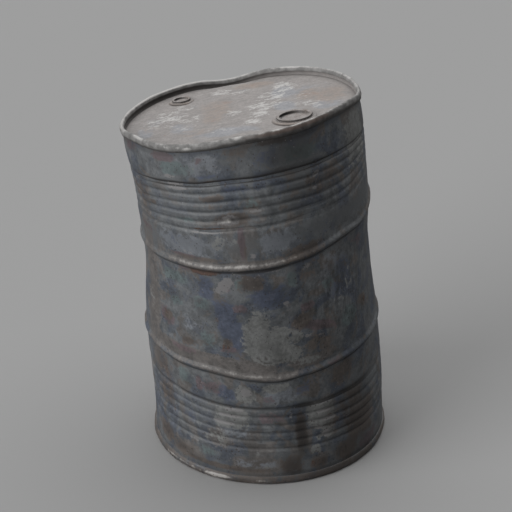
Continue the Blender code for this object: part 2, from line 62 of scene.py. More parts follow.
# The straight barrel
HEIGHT = 0.880
BODY_RADIUS = 0.286
SHEET = 0.0012
SEAM_GAP = 0.0003
CHIME_RADIUS = 0.2918
CHIME_HEIGHT = 0.0210
PANEL_DEPTH = 0.021
PANEL_STIFF_RADIUS = 0.252
PANEL_FLEX_MARGIN = 0.0013
LOWER_HOOP = 0.304
UPPER_HOOP = 0.600
FOOT_STIFF = 0.030
TOP_STIFF = 0.050
RIM_LEVEL = HEIGHT - 0.01075
COLUMNS = 360
SPLIT = 0.0001
TINY = 1e-6
MOST_OF_A_SIDE = 0.48
MOST_MARK = 1.2
MM_IN_METRE = 1000.0


def bell(offset: Array) -> Array:
    """Bell curve: e to the minus square of the offset."""
    return np.exp(-offset * offset)


def smooth_step(low: float, high: float, value: Array) -> Array:
    """Rise from 0 at low to 1 at high: three t squared minus two t cubed."""
    t = np.clip((value - low) / (high - low), 0.0, 1.0)
    return t * t * (3.0 - 2.0 * t)


def turn_apart(degrees: Array, centre: float) -> Array:
    """Angle from the centre, between -180 and 180 degrees."""
    return (degrees - centre + 180.0) % 360.0 - 180.0


def facing(degrees: Array, centre: float, half: float) -> Array:
    """Bell curve round the barrel, by the angle from its centre over its half width."""
    return bell(turn_apart(degrees, centre) / half)


@dataclass(frozen=True)
class Station:
    """How one level of the straight barrel lies after the crush, as in the frame's solids."""

    level: float
    middle: tuple[float, float, float]
    lean: tuple[float, float] = (0.0, 0.0)
    oval: tuple[float, float] = (0.0, 0.0)
    saddle: tuple[float, float] = (0.0, 0.0)

    def row(self) -> tuple[float, ...]:
        """All numbers of the station in one row."""
        return (*self.middle, *self.lean, *self.oval, *self.saddle)

    def axis(self) -> Vector:
        """Unit vector of the barrel's axis at this level."""
        tip = math.radians(math.hypot(*self.lean))
        towards = Vector((*self.lean, 0.0)).normalized() if tip else Vector((0.0, 0.0, 0.0))
        return towards * math.sin(tip) + Vector((0.0, 0.0, math.cos(tip)))


@dataclass(frozen=True)
class Buckle:
    """A local push: a bell in angle times a bell in level."""

    angle: float
    level: float
    half_angle: float
    half_height: float
    push: float

    def at(self, degrees: Array, level: Array) -> Array:
        """Push at each point."""
        along = (level - self.level) / self.half_height
        return self.push * facing(degrees, self.angle, self.half_angle) * bell(along)


@dataclass(frozen=True)
class Ripple:
    """A seeded sum of waves round the barrel and along it."""

    seed: int
    turns: int
    per_metre: float
    height: float
    waves: int = 22

    def at(self, angle: Array, level: Array) -> Array:
        """Height at each point: the mean square is half the square of the height.

        Args:
            angle: Angle round the barrel in radians.
            level: Level in metres.

        Returns:
            The sum of cosines of whole turns round and of free waves along.
        """
        draw = np.random.default_rng(self.seed)
        total = np.zeros(np.broadcast(angle, level).shape)
        for _ in range(self.waves):
            round_turns = draw.integers(-self.turns, self.turns + 1)
            along = draw.uniform(-self.per_metre, self.per_metre)
            start = draw.uniform(0.0, 2.0 * math.pi)
            total += np.cos(round_turns * angle + 2.0 * math.pi * along * level + start)
        return self.height * total / math.sqrt(self.waves)


@dataclass(frozen=True)
class Crush:
    """Carries the straight barrel's points to the crushed barrel."""

    stations: tuple[Station, ...]
    waves: tuple[Buckle, ...]
    dents: tuple[Buckle, ...]
    shift: tuple[float, float, float]

    def lie(self, level: Array) -> Array:
        """Cubic blend of the stations' rows at each level.

        Args:
            level: Levels between the first and the last station.

        Returns:
            One row of middle, lean, oval and saddle for each level.
        """
        levels = np.array([one.level for one in self.stations])
        rows = np.array([one.row() for one in self.stations])
        slopes = np.zeros_like(rows)
        slopes[1:-1] = (rows[2:] - rows[:-2]) / (levels[2:] - levels[:-2])[:, None]
        slopes[0, :3] = self.stations[0].axis()
        slopes[-1, :3] = self.stations[-1].axis()
        low = np.clip(np.searchsorted(levels, level, side="right") - 1, 0, len(levels) - 2)
        span = (levels[low + 1] - levels[low])[:, None]
        t = (level - levels[low])[:, None] / span
        start = (2.0 * t**3 - 3.0 * t**2 + 1.0) * rows[low]
        leave = (t**3 - 2.0 * t**2 + t) * span * slopes[low]
        end = (3.0 * t**2 - 2.0 * t**3) * rows[low + 1]
        arrive = (t**3 - t**2) * span * slopes[low + 1]
        return start + leave + end + arrive

    def carry(self, points: Array) -> Array:
        """Crushed places of straight points.

        Each level is made oval and dented, its edge is lifted and lowered, and then the level is
        tipped with its axis and moved to its middle. The heads' flat middles only move.

        Args:
            points: Rows of x, y and level.

        Returns:
            Rows of x, y and z in the frame.
        """
        level = points[:, 2]
        radius = np.hypot(points[:, 0], points[:, 1])
        angle = np.arctan2(points[:, 1], points[:, 0])
        degrees = np.degrees(angle)
        guide = np.clip(level, FOOT_STIFF, HEIGHT - TOP_STIFF)
        x, y, z, lean_x, lean_y, oval, oval_turned, saddle, saddle_turned = self.lie(guide).T
        flex_end = BODY_RADIUS - 2.0 * SHEET - SEAM_GAP - PANEL_FLEX_MARGIN
        flex = smooth_step(PANEL_STIFF_RADIUS, flex_end, radius)
        outwards = oval * np.cos(2.0 * angle) + oval_turned * np.sin(2.0 * angle)
        outwards -= sum(one.at(degrees, level) for one in self.dents)
        upwards = saddle * np.cos(2.0 * angle) + saddle_turned * np.sin(2.0 * angle)
        upwards += sum(one.at(degrees, level) for one in self.waves)
        reach = radius + flex * outwards
        rise = level - guide + flex * upwards
        lean = np.maximum(np.hypot(lean_x, lean_y), 1e-9)
        towards_x, towards_y = lean_x / lean, lean_y / lean
        upright = towards_x**2 + towards_y**2 < 0.5
        towards_x = np.where(upright, 1.0, towards_x)
        tip = np.radians(lean)
        along = reach * (np.cos(angle) * towards_x + np.sin(angle) * towards_y)
        aside = reach * (np.sin(angle) * towards_x - np.cos(angle) * towards_y)
        tipped = along * np.cos(tip) + rise * np.sin(tip)
        risen = rise * np.cos(tip) - along * np.sin(tip)
        out_x = x + tipped * towards_x - aside * towards_y
        out_y = y + tipped * towards_y + aside * towards_x
        return np.column_stack((out_x, out_y, z + risen)) + np.array(self.shift)

    def head_matrix(self) -> Matrix:
        """Matrix from the straight barrel to the place of the top head's flat middle."""
        top = self.stations[-1]
        turn = Vector((0.0, 0.0, 1.0)).rotation_difference(top.axis())
        place = Matrix.Translation(Vector(self.shift) + Vector(top.middle))
        return place @ turn.to_matrix().to_4x4() @ Matrix.Translation((0.0, 0.0, -top.level))


def frame_shift() -> tuple[float, float, float]:
    """Where the straight barrel's axis meets the ground: under the middle of the bottom head."""
    low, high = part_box("bottom_head")
    middle = (low + high) / 2.0
    return (middle.x, middle.y, 0.0)


CRUSH = Crush(
    stations=(
        Station(FOOT_STIFF, (0.0, 0.0, 0.030), oval=(0.0025, 0.0040)),
        Station(
            LOWER_HOOP, (-0.0205, 0.0050, 0.313), lean=(-2.4, 2.2),
            oval=(0.0005, 0.0010), saddle=(0.0150, 0.0035),
        ),
        Station(
            UPPER_HOOP, (-0.0355, 0.0170, 0.604), lean=(-9.6, 2.8),
            oval=(-0.0045, 0.0020), saddle=(0.0070, 0.0065),
        ),
        Station(
            HEIGHT - TOP_STIFF, (-0.0665, 0.0390, 0.825), lean=(-8.3, 8.9),
            oval=(0.0015, 0.0040), saddle=(-0.0010, 0.0),
        ),
    ),
    waves=tuple(
        Buckle(angle, level, half_angle, half_height, push)
        for level, half_height, row in (
            (RIM_LEVEL, 0.045, (
                (-152.0, 15.0, 0.0105), (-86.0, 22.0, 0.0096), (-35.0, 34.0, 0.0142),
                (3.0, 16.0, -0.0084), (50.0, 26.0, 0.0055), (97.0, 13.0, -0.0125),
                (140.0, 24.0, 0.0030),
            )),
            (LOWER_HOOP, 0.060, ((-113.0, 14.0, 0.0095), (-82.0, 8.0, -0.0035), (-22.0, 12.0, -0.0040))),
            (UPPER_HOOP, 0.060, ((-48.0, 12.0, 0.0065), (-22.0, 12.0, -0.0040))),
        )
        for angle, half_angle, push in row
    ),
    dents=(
        Buckle(0.0, 0.500, 40.0, 0.070, 0.0090), Buckle(0.0, 0.400, 30.0, 0.060, 0.0070),
        Buckle(180.0, 0.500, 40.0, 0.070, 0.0040), Buckle(180.0, 0.420, 30.0, 0.060, 0.0020),
        Buckle(0.0, 0.200, 40.0, 0.100, -0.0022), Buckle(180.0, 0.740, 40.0, 0.060, 0.0030),
        Buckle(-70.0, 0.150, 7.0, 0.075, 0.0070), Buckle(-75.0, 0.440, 16.0, 0.060, 0.0040),
        Buckle(110.0, 0.450, 24.0, 0.080, 0.0110), Buckle(60.0, 0.180, 16.0, 0.060, 0.0060),
    ),
    shift=frame_shift(),
)


# Mesh making

def lattice(rows: int, columns: int, first: int = 0, close_rows: bool = False) -> Array:
    """Quads of a grid of points that closes round its columns.

    The corner order is down a row and then on a column, so a surface whose rows run down and
    whose columns run anticlockwise faces outwards.

    Args:
        rows: Number of rows of points.
        columns: Number of points in a row.
        first: Index of the grid's first point.
        close_rows: Whether the last row also joins the first.

    Returns:
        An array of four point indices for each quad.
    """
    count = rows if close_rows else rows - 1
    row = np.arange(count)[:, None]
    column = np.arange(columns)[None, :]
    below = (row + 1) % rows
    beside = (column + 1) % columns
    corners = (
        row * columns + column, below * columns + column,
        below * columns + beside, row * columns + beside,
    )
    return first + np.stack(corners, axis=-1).reshape(-1, 4)


def fan(pole: int, ring: Array, downwards: bool) -> Array:
    """Triangles from a pole to a ring of point indices, which the ring leaves downwards or not."""
    beside = np.roll(ring, -1)
    poles = np.full_like(ring, pole)
    order = (poles, ring, beside) if downwards else (poles, beside, ring)
    return np.stack(order, axis=-1)


def put_mesh(name: str, points: Array, faces: list[Array]) -> bpy.types.Object:
    """Make an object from points and from arrays of faces.

    Args:
        name: Name of the object and of its mesh.
        points: Rows of x, y and z.
        faces: Arrays of point indices, each with one row for a face.

    Returns:
        The linked object, at the origin.
    """
    mesh = bpy.data.meshes.new(name)
    mesh.vertices.add(len(points))
    mesh.vertices.foreach_set("co", points.astype(np.float32).ravel())
    loops = np.concatenate([part.ravel() for part in faces])
    sizes = np.concatenate([np.full(len(part), part.shape[1]) for part in faces])
    mesh.loops.add(len(loops))
    mesh.loops.foreach_set("vertex_index", loops.astype(np.int32))
    mesh.polygons.add(len(sizes))
    starts = np.concatenate(([0], np.cumsum(sizes)[:-1]))
    mesh.polygons.foreach_set("loop_start", starts.astype(np.int32))
    mesh.update(calc_edges=True)
    mesh.validate()
    item = bpy.data.objects.new(name, mesh)
    bpy.context.scene.collection.objects.link(item)
    return item


def read_points(item: bpy.types.Object) -> Array:
    """Points of an object's mesh as rows of x, y and z."""
    flat = np.empty(len(item.data.vertices) * 3, dtype=np.float32)
    item.data.vertices.foreach_get("co", flat)
    return flat.reshape(-1, 3).astype(np.float64)


def write_points(item: bpy.types.Object, points: Array) -> None:
    """Put new places into an object's mesh."""
    item.data.vertices.foreach_set("co", points.astype(np.float32).ravel())
    item.data.update()


def write_values(item: bpy.types.Object, name: str, values: Array) -> None:
    """Store one number or one vector for each point under a name that materials read."""
    kind, field = ("FLOAT", "value") if values.ndim == 1 else ("FLOAT_VECTOR", "vector")
    made = item.data.attributes.new(name=name, type=kind, domain="POINT")
    made.data.foreach_set(field, values.astype(np.float32).ravel())


def shade(item: bpy.types.Object, material: bpy.types.Material) -> None:
    """Give an object one material and smooth faces."""
    item.data.materials.clear()
    item.data.materials.append(material)
    item.data.shade_smooth()


def apply_modifiers(item: bpy.types.Object) -> None:
    """Replace an object's mesh by its evaluated one."""
    graph = bpy.context.evaluated_depsgraph_get()
    mesh = bpy.data.meshes.new_from_object(item.evaluated_get(graph))
    item.modifiers.clear()
    item.data = mesh


def combine(item: bpy.types.Object, other: bpy.types.Object, operation: str) -> None:
    """Cut an object with another, or join it on, and remove the other."""
    step = item.modifiers.new(operation.lower(), "BOOLEAN")
    step.operation = operation
    step.solver = "EXACT"
    step.object = other
    apply_modifiers(item)
    bpy.data.objects.remove(other, do_unlink=True)


def rounded(profile: list[tuple[float, float, float]], steps: int = 4) -> Array:
    """Profile with its corners rounded.

    Each point carries a fillet size. The corner is replaced by a curve of degree two that leaves
    one side at that distance from the corner and meets the other side at the same distance.

    Args:
        profile: Points of radius, height and fillet size.
        steps: Number of curve points in a corner, less one.

    Returns:
        Rows of radius and height.
    """
    corners = np.array(profile)[:, :2]
    result = []
    for index, (radius, height, fillet) in enumerate(profile):
        if fillet == 0.0 or index in (0, len(profile) - 1):
            result.append((radius, height))
            continue
        here = corners[index]
        back = corners[index - 1] - here
        on = corners[index + 1] - here
        reach = min(fillet, MOST_OF_A_SIDE * float(min(np.hypot(*back), np.hypot(*on))))
        start = here + back / np.hypot(*back) * reach
        end = here + on / np.hypot(*on) * reach
        for t in np.linspace(0.0, 1.0, steps + 1):
            point = (1.0 - t) ** 2 * start + 2.0 * t * (1.0 - t) * here + t**2 * end
            result.append(tuple(point))
    return np.array(result)


def refined(profile: Array, longest: float) -> Array:
    """Profile whose straight runs are divided so that no step is longer than a length."""
    result = [profile[:1]]
    for start, end in zip(profile[:-1], profile[1:]):
        count = max(1, math.ceil(float(np.hypot(*(end - start))) / longest))
        share = np.linspace(0.0, 1.0, count + 1)[1:, None]
        result.append(start + share * (end - start))
    return np.concatenate(result)


def polar(radius: Array, angle: Array, height: Array) -> Array:
    """Rows of x, y and z from flat polar arrays."""
    return np.column_stack((radius * np.cos(angle), radius * np.sin(angle), height))


def turned_ring(name: str, points: Array, rows: int, columns: int) -> bpy.types.Object:
    """Closed ring from a closed profile's turned points."""
    return put_mesh(name, points, [lattice(rows, columns, close_rows=True)])


def turned_solid(name: str, points: Array, rows: int, columns: int) -> bpy.types.Object:
    """Closed solid from turned points whose first and last rows lie on the axis as poles."""
    inner = points[columns:-columns]
    body = lattice(rows - 2, columns, first=1)
    last = 1 + len(inner)
    ring = np.arange(columns)
    caps = [fan(0, 1 + ring, True), fan(last, last - columns + ring, False)]
    every = np.vstack((points[:1], inner, points[-1:]))
    return put_mesh(name, every, [body, *caps])


def turned(name: str, profile: Array, columns: int, ring: bool = False,
           cut: Callable[[Array, Array, Array], Array] | None = None) -> bpy.types.Object:
    """A profile turned round Z: a ring, or a solid whose first and last points are on the axis.

    Args:
        name: Name of the object.
        profile: Rows of radius and height.
        columns: Number of points round.
        ring: Whether the profile closes on itself.
        cut: Gives new radii from the points' radii, angles in radians and heights.

    Returns:
        The linked object.
    """
    radius, height = np.repeat(profile, columns, axis=0).T
    angle = np.tile(np.arange(columns) * (2.0 * math.pi / columns), len(profile))
    if cut:
        radius = cut(radius, angle, height)
    make = turned_ring if ring else turned_solid
    return make(name, polar(radius, angle, height), len(profile), columns)


# Finishes

class Mark(Enum):
    """Named marks on a surface, each stored on the mesh as an amount from 0 to MOST_MARK."""

    BLUE = "blue"
    TEAL = "teal"
    FADED = "faded"
    PINK = "pink"
    BROWN = "brown"
    RUST = "rust"
    PALE = "pale"
    # This mark holds grime, and also painted shade: in grooves, creases and corners, under the hoops and
    # the rim, in the bungs' recesses and on sides away from the light.
    DARK = "dark"
    # This mark holds worn bare steel, and also painted highlights and glints on crests and edges that
    # face the light.
    BARE = "bare"
    SLATE = "slate"
    CALM = "calm"
    STREAK = "streak"
    WARM = "warm"
    LIGHT = "light"


class Nodes:
    """Short calls that add shader nodes to one material and give their output sockets."""

    def __init__(self, name: str) -> None:
        """Make the material and keep its Principled shader."""
        self.material = bpy.data.materials.new(name)
        self.material.use_nodes = True
        self.tree = self.material.node_tree
        self.shader = self.tree.nodes["Principled BSDF"]

    def put(self, socket: Socket, value: Value) -> None:
        """Link a socket to an output, or set its value."""
        if isinstance(value, Socket):
            self.tree.links.new(value, socket)
        elif isinstance(value, tuple) and socket.type == "RGBA":
            socket.default_value = (*value, 1.0)
        else:
            socket.default_value = value

    def add(self, kind: str, output: str | int, inputs: dict, **fields: str) -> Socket:
        """Add a node.

        Args:
            kind: The node's type, without the words that all types start with.
            output: Name or index of the output that is wanted.
            inputs: What is put in, by the name or index of each input.
            fields: The node's own settings.

        Returns:
            The output socket.
        """
        node = self.tree.nodes.new(f"ShaderNode{kind}")
        for name, value in fields.items():
            setattr(node, name, value)
        for name, value in inputs.items():
            self.put(node.inputs[name], value)
        return node.outputs[output]

    def stored(self, name: str, output: str = "Fac") -> Socket:
        """A number stored on the piece, or a vector if that output is asked for."""
        return self.add("Attribute", output, {}, attribute_name=name)

    def scaled(self, vector: Socket, scale: Color, turn: float = 0.0) -> Socket:
        """A vector stretched along its axes and turned about Z, in degrees."""
        rotation = (0.0, 0.0, math.radians(turn))
        return self.add("Mapping", "Vector", {"Vector": vector, "Scale": scale, "Rotation": rotation})

    def moved(self, vector: Socket, offset: float) -> Socket:
        """A vector moved by the same offset along each axis."""
        return self.add("VectorMath", "Vector", {0: vector, 1: (offset, offset, offset)})

    def noise(self, vector: Socket, scale: float, detail: float, roughness: float,
              distortion: float = 0.0) -> Socket:
        """Fractal noise between 0 and 1, around one half."""
        inputs = {"Vector": vector, "Scale": scale, "Detail": detail, "Roughness": roughness}
        return self.add("TexNoise", "Fac", {**inputs, "Distortion": distortion})

    def spots(self, vector: Socket, scale: float) -> Socket:
        """Distance to the nearest of scattered points, in cells."""
        return self.add("TexVoronoi", "Distance", {"Vector": vector, "Scale": scale})

    def plus(self, first: Value, second: Value) -> Socket:
        """Sum of two values."""
        return self.add("Math", 0, {0: first, 1: second}, operation="ADD")

    def times(self, first: Value, second: Value) -> Socket:
        """Product of two values."""
        return self.add("Math", 0, {0: first, 1: second}, operation="MULTIPLY")

    def total(self, *parts: tuple[Socket, float]) -> Socket:
        """Sum of values, each times its share."""
        return reduce(self.plus, [self.times(value, share) for value, share in parts])

    def swing(self, value: Socket, height: float) -> Socket:
        """Noise moved to swing about 0, times a height."""
        return self.times(self.plus(value, -0.5), height)

    def marked(self, mark: Mark, ragged: Socket, share: float = 1.0) -> Socket:
        """Stored amount of a mark plus a share of ragged noise."""
        return self.plus(self.stored(mark.value), self.times(ragged, share))

    def ramp(self, value: Socket, low: float, high: float, bottom: float = 0.0, top: float = 1.0
             ) -> Socket:
        """Smooth rise from bottom at low to top at high."""
        inputs = {"Value": value, "From Min": low, "From Max": high, "To Min": bottom, "To Max": top}
        return self.add("MapRange", "Result", inputs, interpolation_type="SMOOTHSTEP")

    def mix(self, share: Value, first: Value, second: Value, blend: str = "MIX") -> Socket:
        """Two colours mixed by a share."""
        inputs = {"Factor": share, 6: first, 7: second}
        return self.add("Mix", 2, inputs, data_type="RGBA", blend_type=blend)

    def blend(self, share: Value, first: Value, second: Value) -> Socket:
        """Two numbers mixed by a share."""
        return self.add("Mix", 0, {"Factor": share, 2: first, 3: second}, data_type="FLOAT")

    def toned(self, color: Socket, tone: Socket) -> Socket:
        """A colour times a grey tone."""
        grey = self.add("CombineColor", "Color", {0: tone, 1: tone, 2: tone})
        return self.mix(1.0, color, grey, "MULTIPLY")

    def bump(self, height: Socket, strength: float, distance: float) -> Socket:
        """Normal bent by a height."""
        return self.add("Bump", "Normal", {"Strength": strength, "Distance": distance, "Height": height})

    def finish(self, color: Socket, roughness: Value, metallic: Value, normal: Socket
               ) -> bpy.types.Material:
        """Put the results into the shader."""
        names = ("Base Color", "Roughness", "Metallic", "Normal")
        for name, value in zip(names, (color, roughness, metallic, normal)):
            self.put(self.shader.inputs[name], value)
        return self.material


@dataclass(frozen=True)
class WallPaint:
    """Faded slate paint on the wall and the chimes, with rust, stains, chips and bare steel, and with
    painted shade and painted highlights.
    """

    grey: Color = (0.108, 0.114, 0.120)
    cool: Color = (0.092, 0.103, 0.118)
    warm: Color = (0.114, 0.105, 0.100)
    light: Color = (0.145, 0.156, 0.173)
    blue: Color = (0.062, 0.074, 0.108)
    teal: Color = (0.096, 0.119, 0.122)
    faded: Color = (0.154, 0.157, 0.154)
    pink: Color = (0.100, 0.078, 0.084)
    brown: Color = (0.088, 0.074, 0.066)
    rust: Color = (0.095, 0.052, 0.036)
    dark_rust: Color = (0.044, 0.036, 0.034)
    pale: Color = (0.200, 0.194, 0.196)
    # The first colour below is for grime and painted shade, the second for bare steel and painted
    # highlights.
    grime_and_shade_color: Color = (0.024, 0.022, 0.022)
    steel: Color = (0.480, 0.465, 0.445)
    layers: tuple[tuple[Mark, float, float, float], ...] = (
        (Mark.WARM, 0.32, 0.68, 0.95), (Mark.LIGHT, 0.34, 0.66, 0.95), (Mark.BLUE, 0.34, 0.66, 0.88),
        (Mark.TEAL, 0.36, 0.62, 0.95), (Mark.FADED, 0.42, 0.58, 0.95), (Mark.PINK, 0.36, 0.66, 0.90),
    )

    def make(self) -> bpy.types.Material:
        """Build the material in layers, from the paint up to the grime and painted shade, and the bare
        steel and painted highlights.
        """
        n = Nodes("wall_paint")
        place = n.stored("straight", "Vector")
        fields = n.noise(place, 12.0, 3.0, 0.55, 0.8)
        other = n.noise(n.moved(place, 3.7), 16.0, 3.0, 0.55, 0.8)
        patches = n.noise(n.moved(place, 1.3), 34.0, 4.0, 0.62, 0.6)
        flecks = n.noise(place, 130.0, 4.0, 0.65)
        strokes = n.noise(n.scaled(place, (1.0, 1.0, 0.30)), 150.0, 3.0, 0.6)
        runs = n.noise(n.scaled(place, (1.0, 1.0, 0.12)), 70.0, 4.0, 0.6)
        ragged = n.plus(n.swing(patches, 1.4), n.swing(flecks, 0.8))

        def layer(below: Socket, mark: Mark, low: float, high: float, top: float) -> Socket:
            """A ragged layer of a mark's own colour over the colour below."""
            share = n.ramp(n.marked(mark, ragged), low, high, 0.0, top)
            return n.mix(share, below, getattr(self, mark.value))

        color = n.mix(n.ramp(fields, 0.45, 0.53), self.cool, self.grey)
        color = n.mix(n.ramp(other, 0.54, 0.60), color, self.warm)
        color = n.mix(n.ramp(n.plus(fields, other), 0.87, 0.94, 0.45, 0.0), color, self.blue)
        calm = n.stored("calm")
        color = n.mix(n.times(calm, 0.75), color, self.grey)
        for one in self.layers:
            color = layer(color, *one)
        stain = n.plus(n.marked(Mark.BROWN, ragged), n.swing(runs, 0.6))
        color = n.mix(n.ramp(stain, 0.34, 0.74, 0.0, 0.92), color, self.brown)
        broad = n.ramp(n.plus(fields, patches), 0.78, 1.22, 0.86, 1.14)
        grain = n.ramp(n.total((patches, 0.4), (flecks, 0.6)), 0.34, 0.66, 0.74, 1.26)
        streaks = n.ramp(n.total((strokes, 0.5), (runs, 0.5)), 0.34, 0.66, 0.55, 1.45)
        streaks = n.blend(n.stored("streak"), 1.0, streaks)
        tone = n.blend(n.times(calm, calm), n.times(broad, n.times(grain, streaks)), 1.0)
        color = n.toned(color, tone)

        rusted = n.marked(Mark.RUST, ragged)
        rust = n.ramp(rusted, 0.40, 0.70)
        rust_color = n.mix(n.ramp(strokes, 0.40, 0.62), self.rust, self.dark_rust)
        rust_color = n.mix(n.ramp(rusted, 0.75, 1.10), rust_color, self.rust)
        color = n.mix(n.times(rust, 0.88), color, rust_color)
        color = layer(color, Mark.PALE, 0.42, 0.66, 0.85)

        # Grime and painted shade, then bare steel and painted highlights.
        dirt_and_shade = n.marked(Mark.DARK, ragged, 0.60)
        color = n.mix(n.ramp(dirt_and_shade, 0.22, 1.00, 0.0, 0.90), color, self.grime_and_shade_color)
        bare = n.ramp(n.marked(Mark.BARE, ragged, 0.60), 0.45, 0.95)
        color = n.mix(n.times(bare, 0.90), color, self.steel)
        pits = n.plus(n.spots(place, 105.0), n.times(n.plus(fields, other), 0.45))
        color = n.mix(n.ramp(pits, 0.54, 0.64, 0.72, 0.0), color, self.dark_rust)
        chips = n.plus(n.spots(n.moved(place, 5.1), 120.0), n.times(other, 0.8))
        color = n.mix(n.ramp(chips, 0.45, 0.52, 0.42, 0.0), color, self.pale)

        rough = n.ramp(patches, 0.3, 0.7, 0.48, 0.64)
        for share, value in ((rust, 0.85), (n.ramp(dirt_and_shade, 0.3, 0.9), 0.85), (bare, 0.50)):
            rough = n.blend(share, rough, value)
        normal = n.bump(n.total((patches, 0.6), (flecks, 0.4)), 0.35, 0.0012)
        return n.finish(color, rough, n.times(bare, 0.15), normal)


@dataclass(frozen=True)
class HeadFinish:
    """Weathered taupe primer on the top head, with flakes of whitish paint and a slate chime, and painted
    shade and painted highlights.
    """

    taupe: Color = (0.266, 0.249, 0.241)
    brown: Color = (0.262, 0.226, 0.204)
    cool: Color = (0.262, 0.264, 0.278)
    white: Color = (0.500, 0.490, 0.480)
    rust: Color = (0.240, 0.165, 0.138)
    slate: Color = (0.186, 0.182, 0.178)
    rim_brown: Color = (0.120, 0.092, 0.080)
    # The first colour below is for grime and painted shade, the second for bare steel and painted
    # highlights.
    grime_and_shade_color: Color = (0.030, 0.026, 0.024)
    steel: Color = (0.520, 0.510, 0.495)

    def make(self) -> bpy.types.Material:
        """Build the material in layers, from the primer up to the grime and painted shade, and the bare
        steel and painted highlights.
        """
        n = Nodes("head_finish")
        place = n.stored("straight", "Vector")
        fields = n.noise(place, 12.0, 4.0, 0.6)
        patches = n.noise(n.moved(place, 1.3), 38.0, 4.0, 0.65, 0.4)
        flecks = n.noise(place, 150.0, 4.0, 0.7)
        along = n.scaled(n.scaled(place, (1.0, 1.0, 1.0), -20.0), (0.70, 1.4, 1.0))
        strokes = n.noise(along, 52.0, 6.0, 0.74, 0.3)
        lumps = n.noise(n.moved(place, 2.9), 60.0, 3.0, 0.55)
        ragged = n.plus(n.swing(patches, 2.5), n.swing(flecks, 1.4))
        cool = n.plus(n.stored("blue"), n.swing(fields, 2.0))
        color = n.mix(n.ramp(cool, 0.10, 0.60), self.taupe, self.cool)
        stained = n.ramp(n.marked(Mark.BROWN, ragged, 0.5), 0.15, 0.80)
        color = n.mix(stained, color, self.brown)
        tone = n.total((flecks, 0.35), (strokes, 0.30), (patches, 0.35))
        color = n.toned(color, n.ramp(tone, 0.36, 0.64, 0.78, 1.22))
        flake = n.plus(n.plus(n.stored("pale"), n.swing(strokes, 3.2)), n.swing(flecks, 1.2))
        color = n.mix(n.ramp(flake, 0.50, 0.95, 0.0, 0.88), color, self.white)
        rust = n.ramp(n.marked(Mark.RUST, ragged), 0.45, 0.90)
        color = n.mix(n.times(rust, 0.70), color, self.rust)
        browned = n.ramp(n.marked(Mark.BROWN, ragged, 0.2), 0.2, 0.9)
        lumpy = n.ramp(n.total((lumps, 0.75), (flecks, 0.25)), 0.34, 0.66, 0.72, 1.28)
        chime = n.toned(n.mix(browned, self.slate, self.rim_brown), lumpy)
        color = n.mix(n.ramp(n.marked(Mark.SLATE, ragged, 0.15), 0.30, 0.75), color, chime)
        # Grime and painted shade, then bare steel and painted highlights.
        dirt_and_shade = n.ramp(n.marked(Mark.DARK, ragged, 0.15), 0.20, 1.00)
        color = n.mix(n.times(dirt_and_shade, 0.90), color, self.grime_and_shade_color)
        bare_and_glint_spread = n.plus(n.swing(lumps, 0.8), n.swing(flecks, 0.8))
        bare = n.ramp(n.marked(Mark.BARE, bare_and_glint_spread), 0.35, 1.10)
        color = n.mix(n.times(bare, 0.85), color, self.steel)
        rough = n.blend(bare, n.ramp(patches, 0.3, 0.7, 0.60, 0.76), 0.45)
        normal = n.bump(n.total((patches, 0.5), (flecks, 0.5)), 0.40, 0.0012)
        return n.finish(color, rough, n.times(bare, 0.4), normal)


@dataclass(frozen=True)
class BungSteel:
    """Bungs painted over in the head's taupe, worn and stained, with painted shade in the recess's
    corners.
    """

    taupe: Color = (0.285, 0.265, 0.255)
    stain: Color = (0.215, 0.188, 0.172)
    # Colour of the painted shade in the recess, and of the dark line round the ring.
    grime_and_shade_color: Color = (0.014, 0.013, 0.012)

    def make(self) -> bpy.types.Material:
        """Build the material on object coordinates."""
        n = Nodes("bung_steel")
        place = n.add("TexCoord", "Object", {})
        patches = n.noise(place, 45.0, 5.0, 0.65)
        flecks = n.noise(place, 260.0, 4.0, 0.7)
        color = n.mix(n.ramp(patches, 0.45, 0.62), self.taupe, self.stain)
        color = n.toned(color, n.ramp(flecks, 0.38, 0.62, 0.82, 1.18))
        # Painted shade in the plug's recess, and a dark line round its ring's edge, as stored on the
        # plug.
        color = n.mix(n.stored("dark"), color, self.grime_and_shade_color)
        rough = n.ramp(patches, 0.3, 0.7, 0.55, 0.70)
        return n.finish(color, rough, 0.10, n.bump(flecks, 0.25, 0.0006))


@dataclass(frozen=True)
class BungRubber:
    """Aged black rubber of the washers and gaskets."""

    black: Color = (0.022, 0.022, 0.021)
    bloom: Color = (0.060, 0.057, 0.053)

    def make(self) -> bpy.types.Material:
        """Build the material on object coordinates."""
        n = Nodes("bung_rubber")
        place = n.add("TexCoord", "Object", {})
        patches = n.noise(place, 120.0, 4.0, 0.6)
        color = n.mix(n.ramp(patches, 0.45, 0.75), self.black, self.bloom)
        return n.finish(color, 0.8, 0.0, n.bump(patches, 0.2, 0.0004))


@dataclass(frozen=True)
class Patch:
    """An oval mark on the wall, which may be tilted: degrees, millimetres and percent."""

    angle: float
    level: float
    half_angle: float
    half_height: float
    percent: float
    tilt: float = 0.0

    def at(self, degrees: Array, level: Array) -> Array:
        """Share at each point: e to the minus sum of the cubes of both offsets."""
        arc = math.radians(1.0) * BODY_RADIUS
        wide = turn_apart(degrees, self.angle) * arc
        tall = level - self.level / MM_IN_METRE
        cos, sin = math.cos(math.radians(self.tilt)), math.sin(math.radians(self.tilt))
        across = (wide * cos + tall * sin) / (self.half_angle * arc)
        along = (tall * cos - wide * sin) / (self.half_height / MM_IN_METRE)
        return self.percent / 100.0 * np.exp(-np.abs(across) ** 3 - np.abs(along) ** 3)


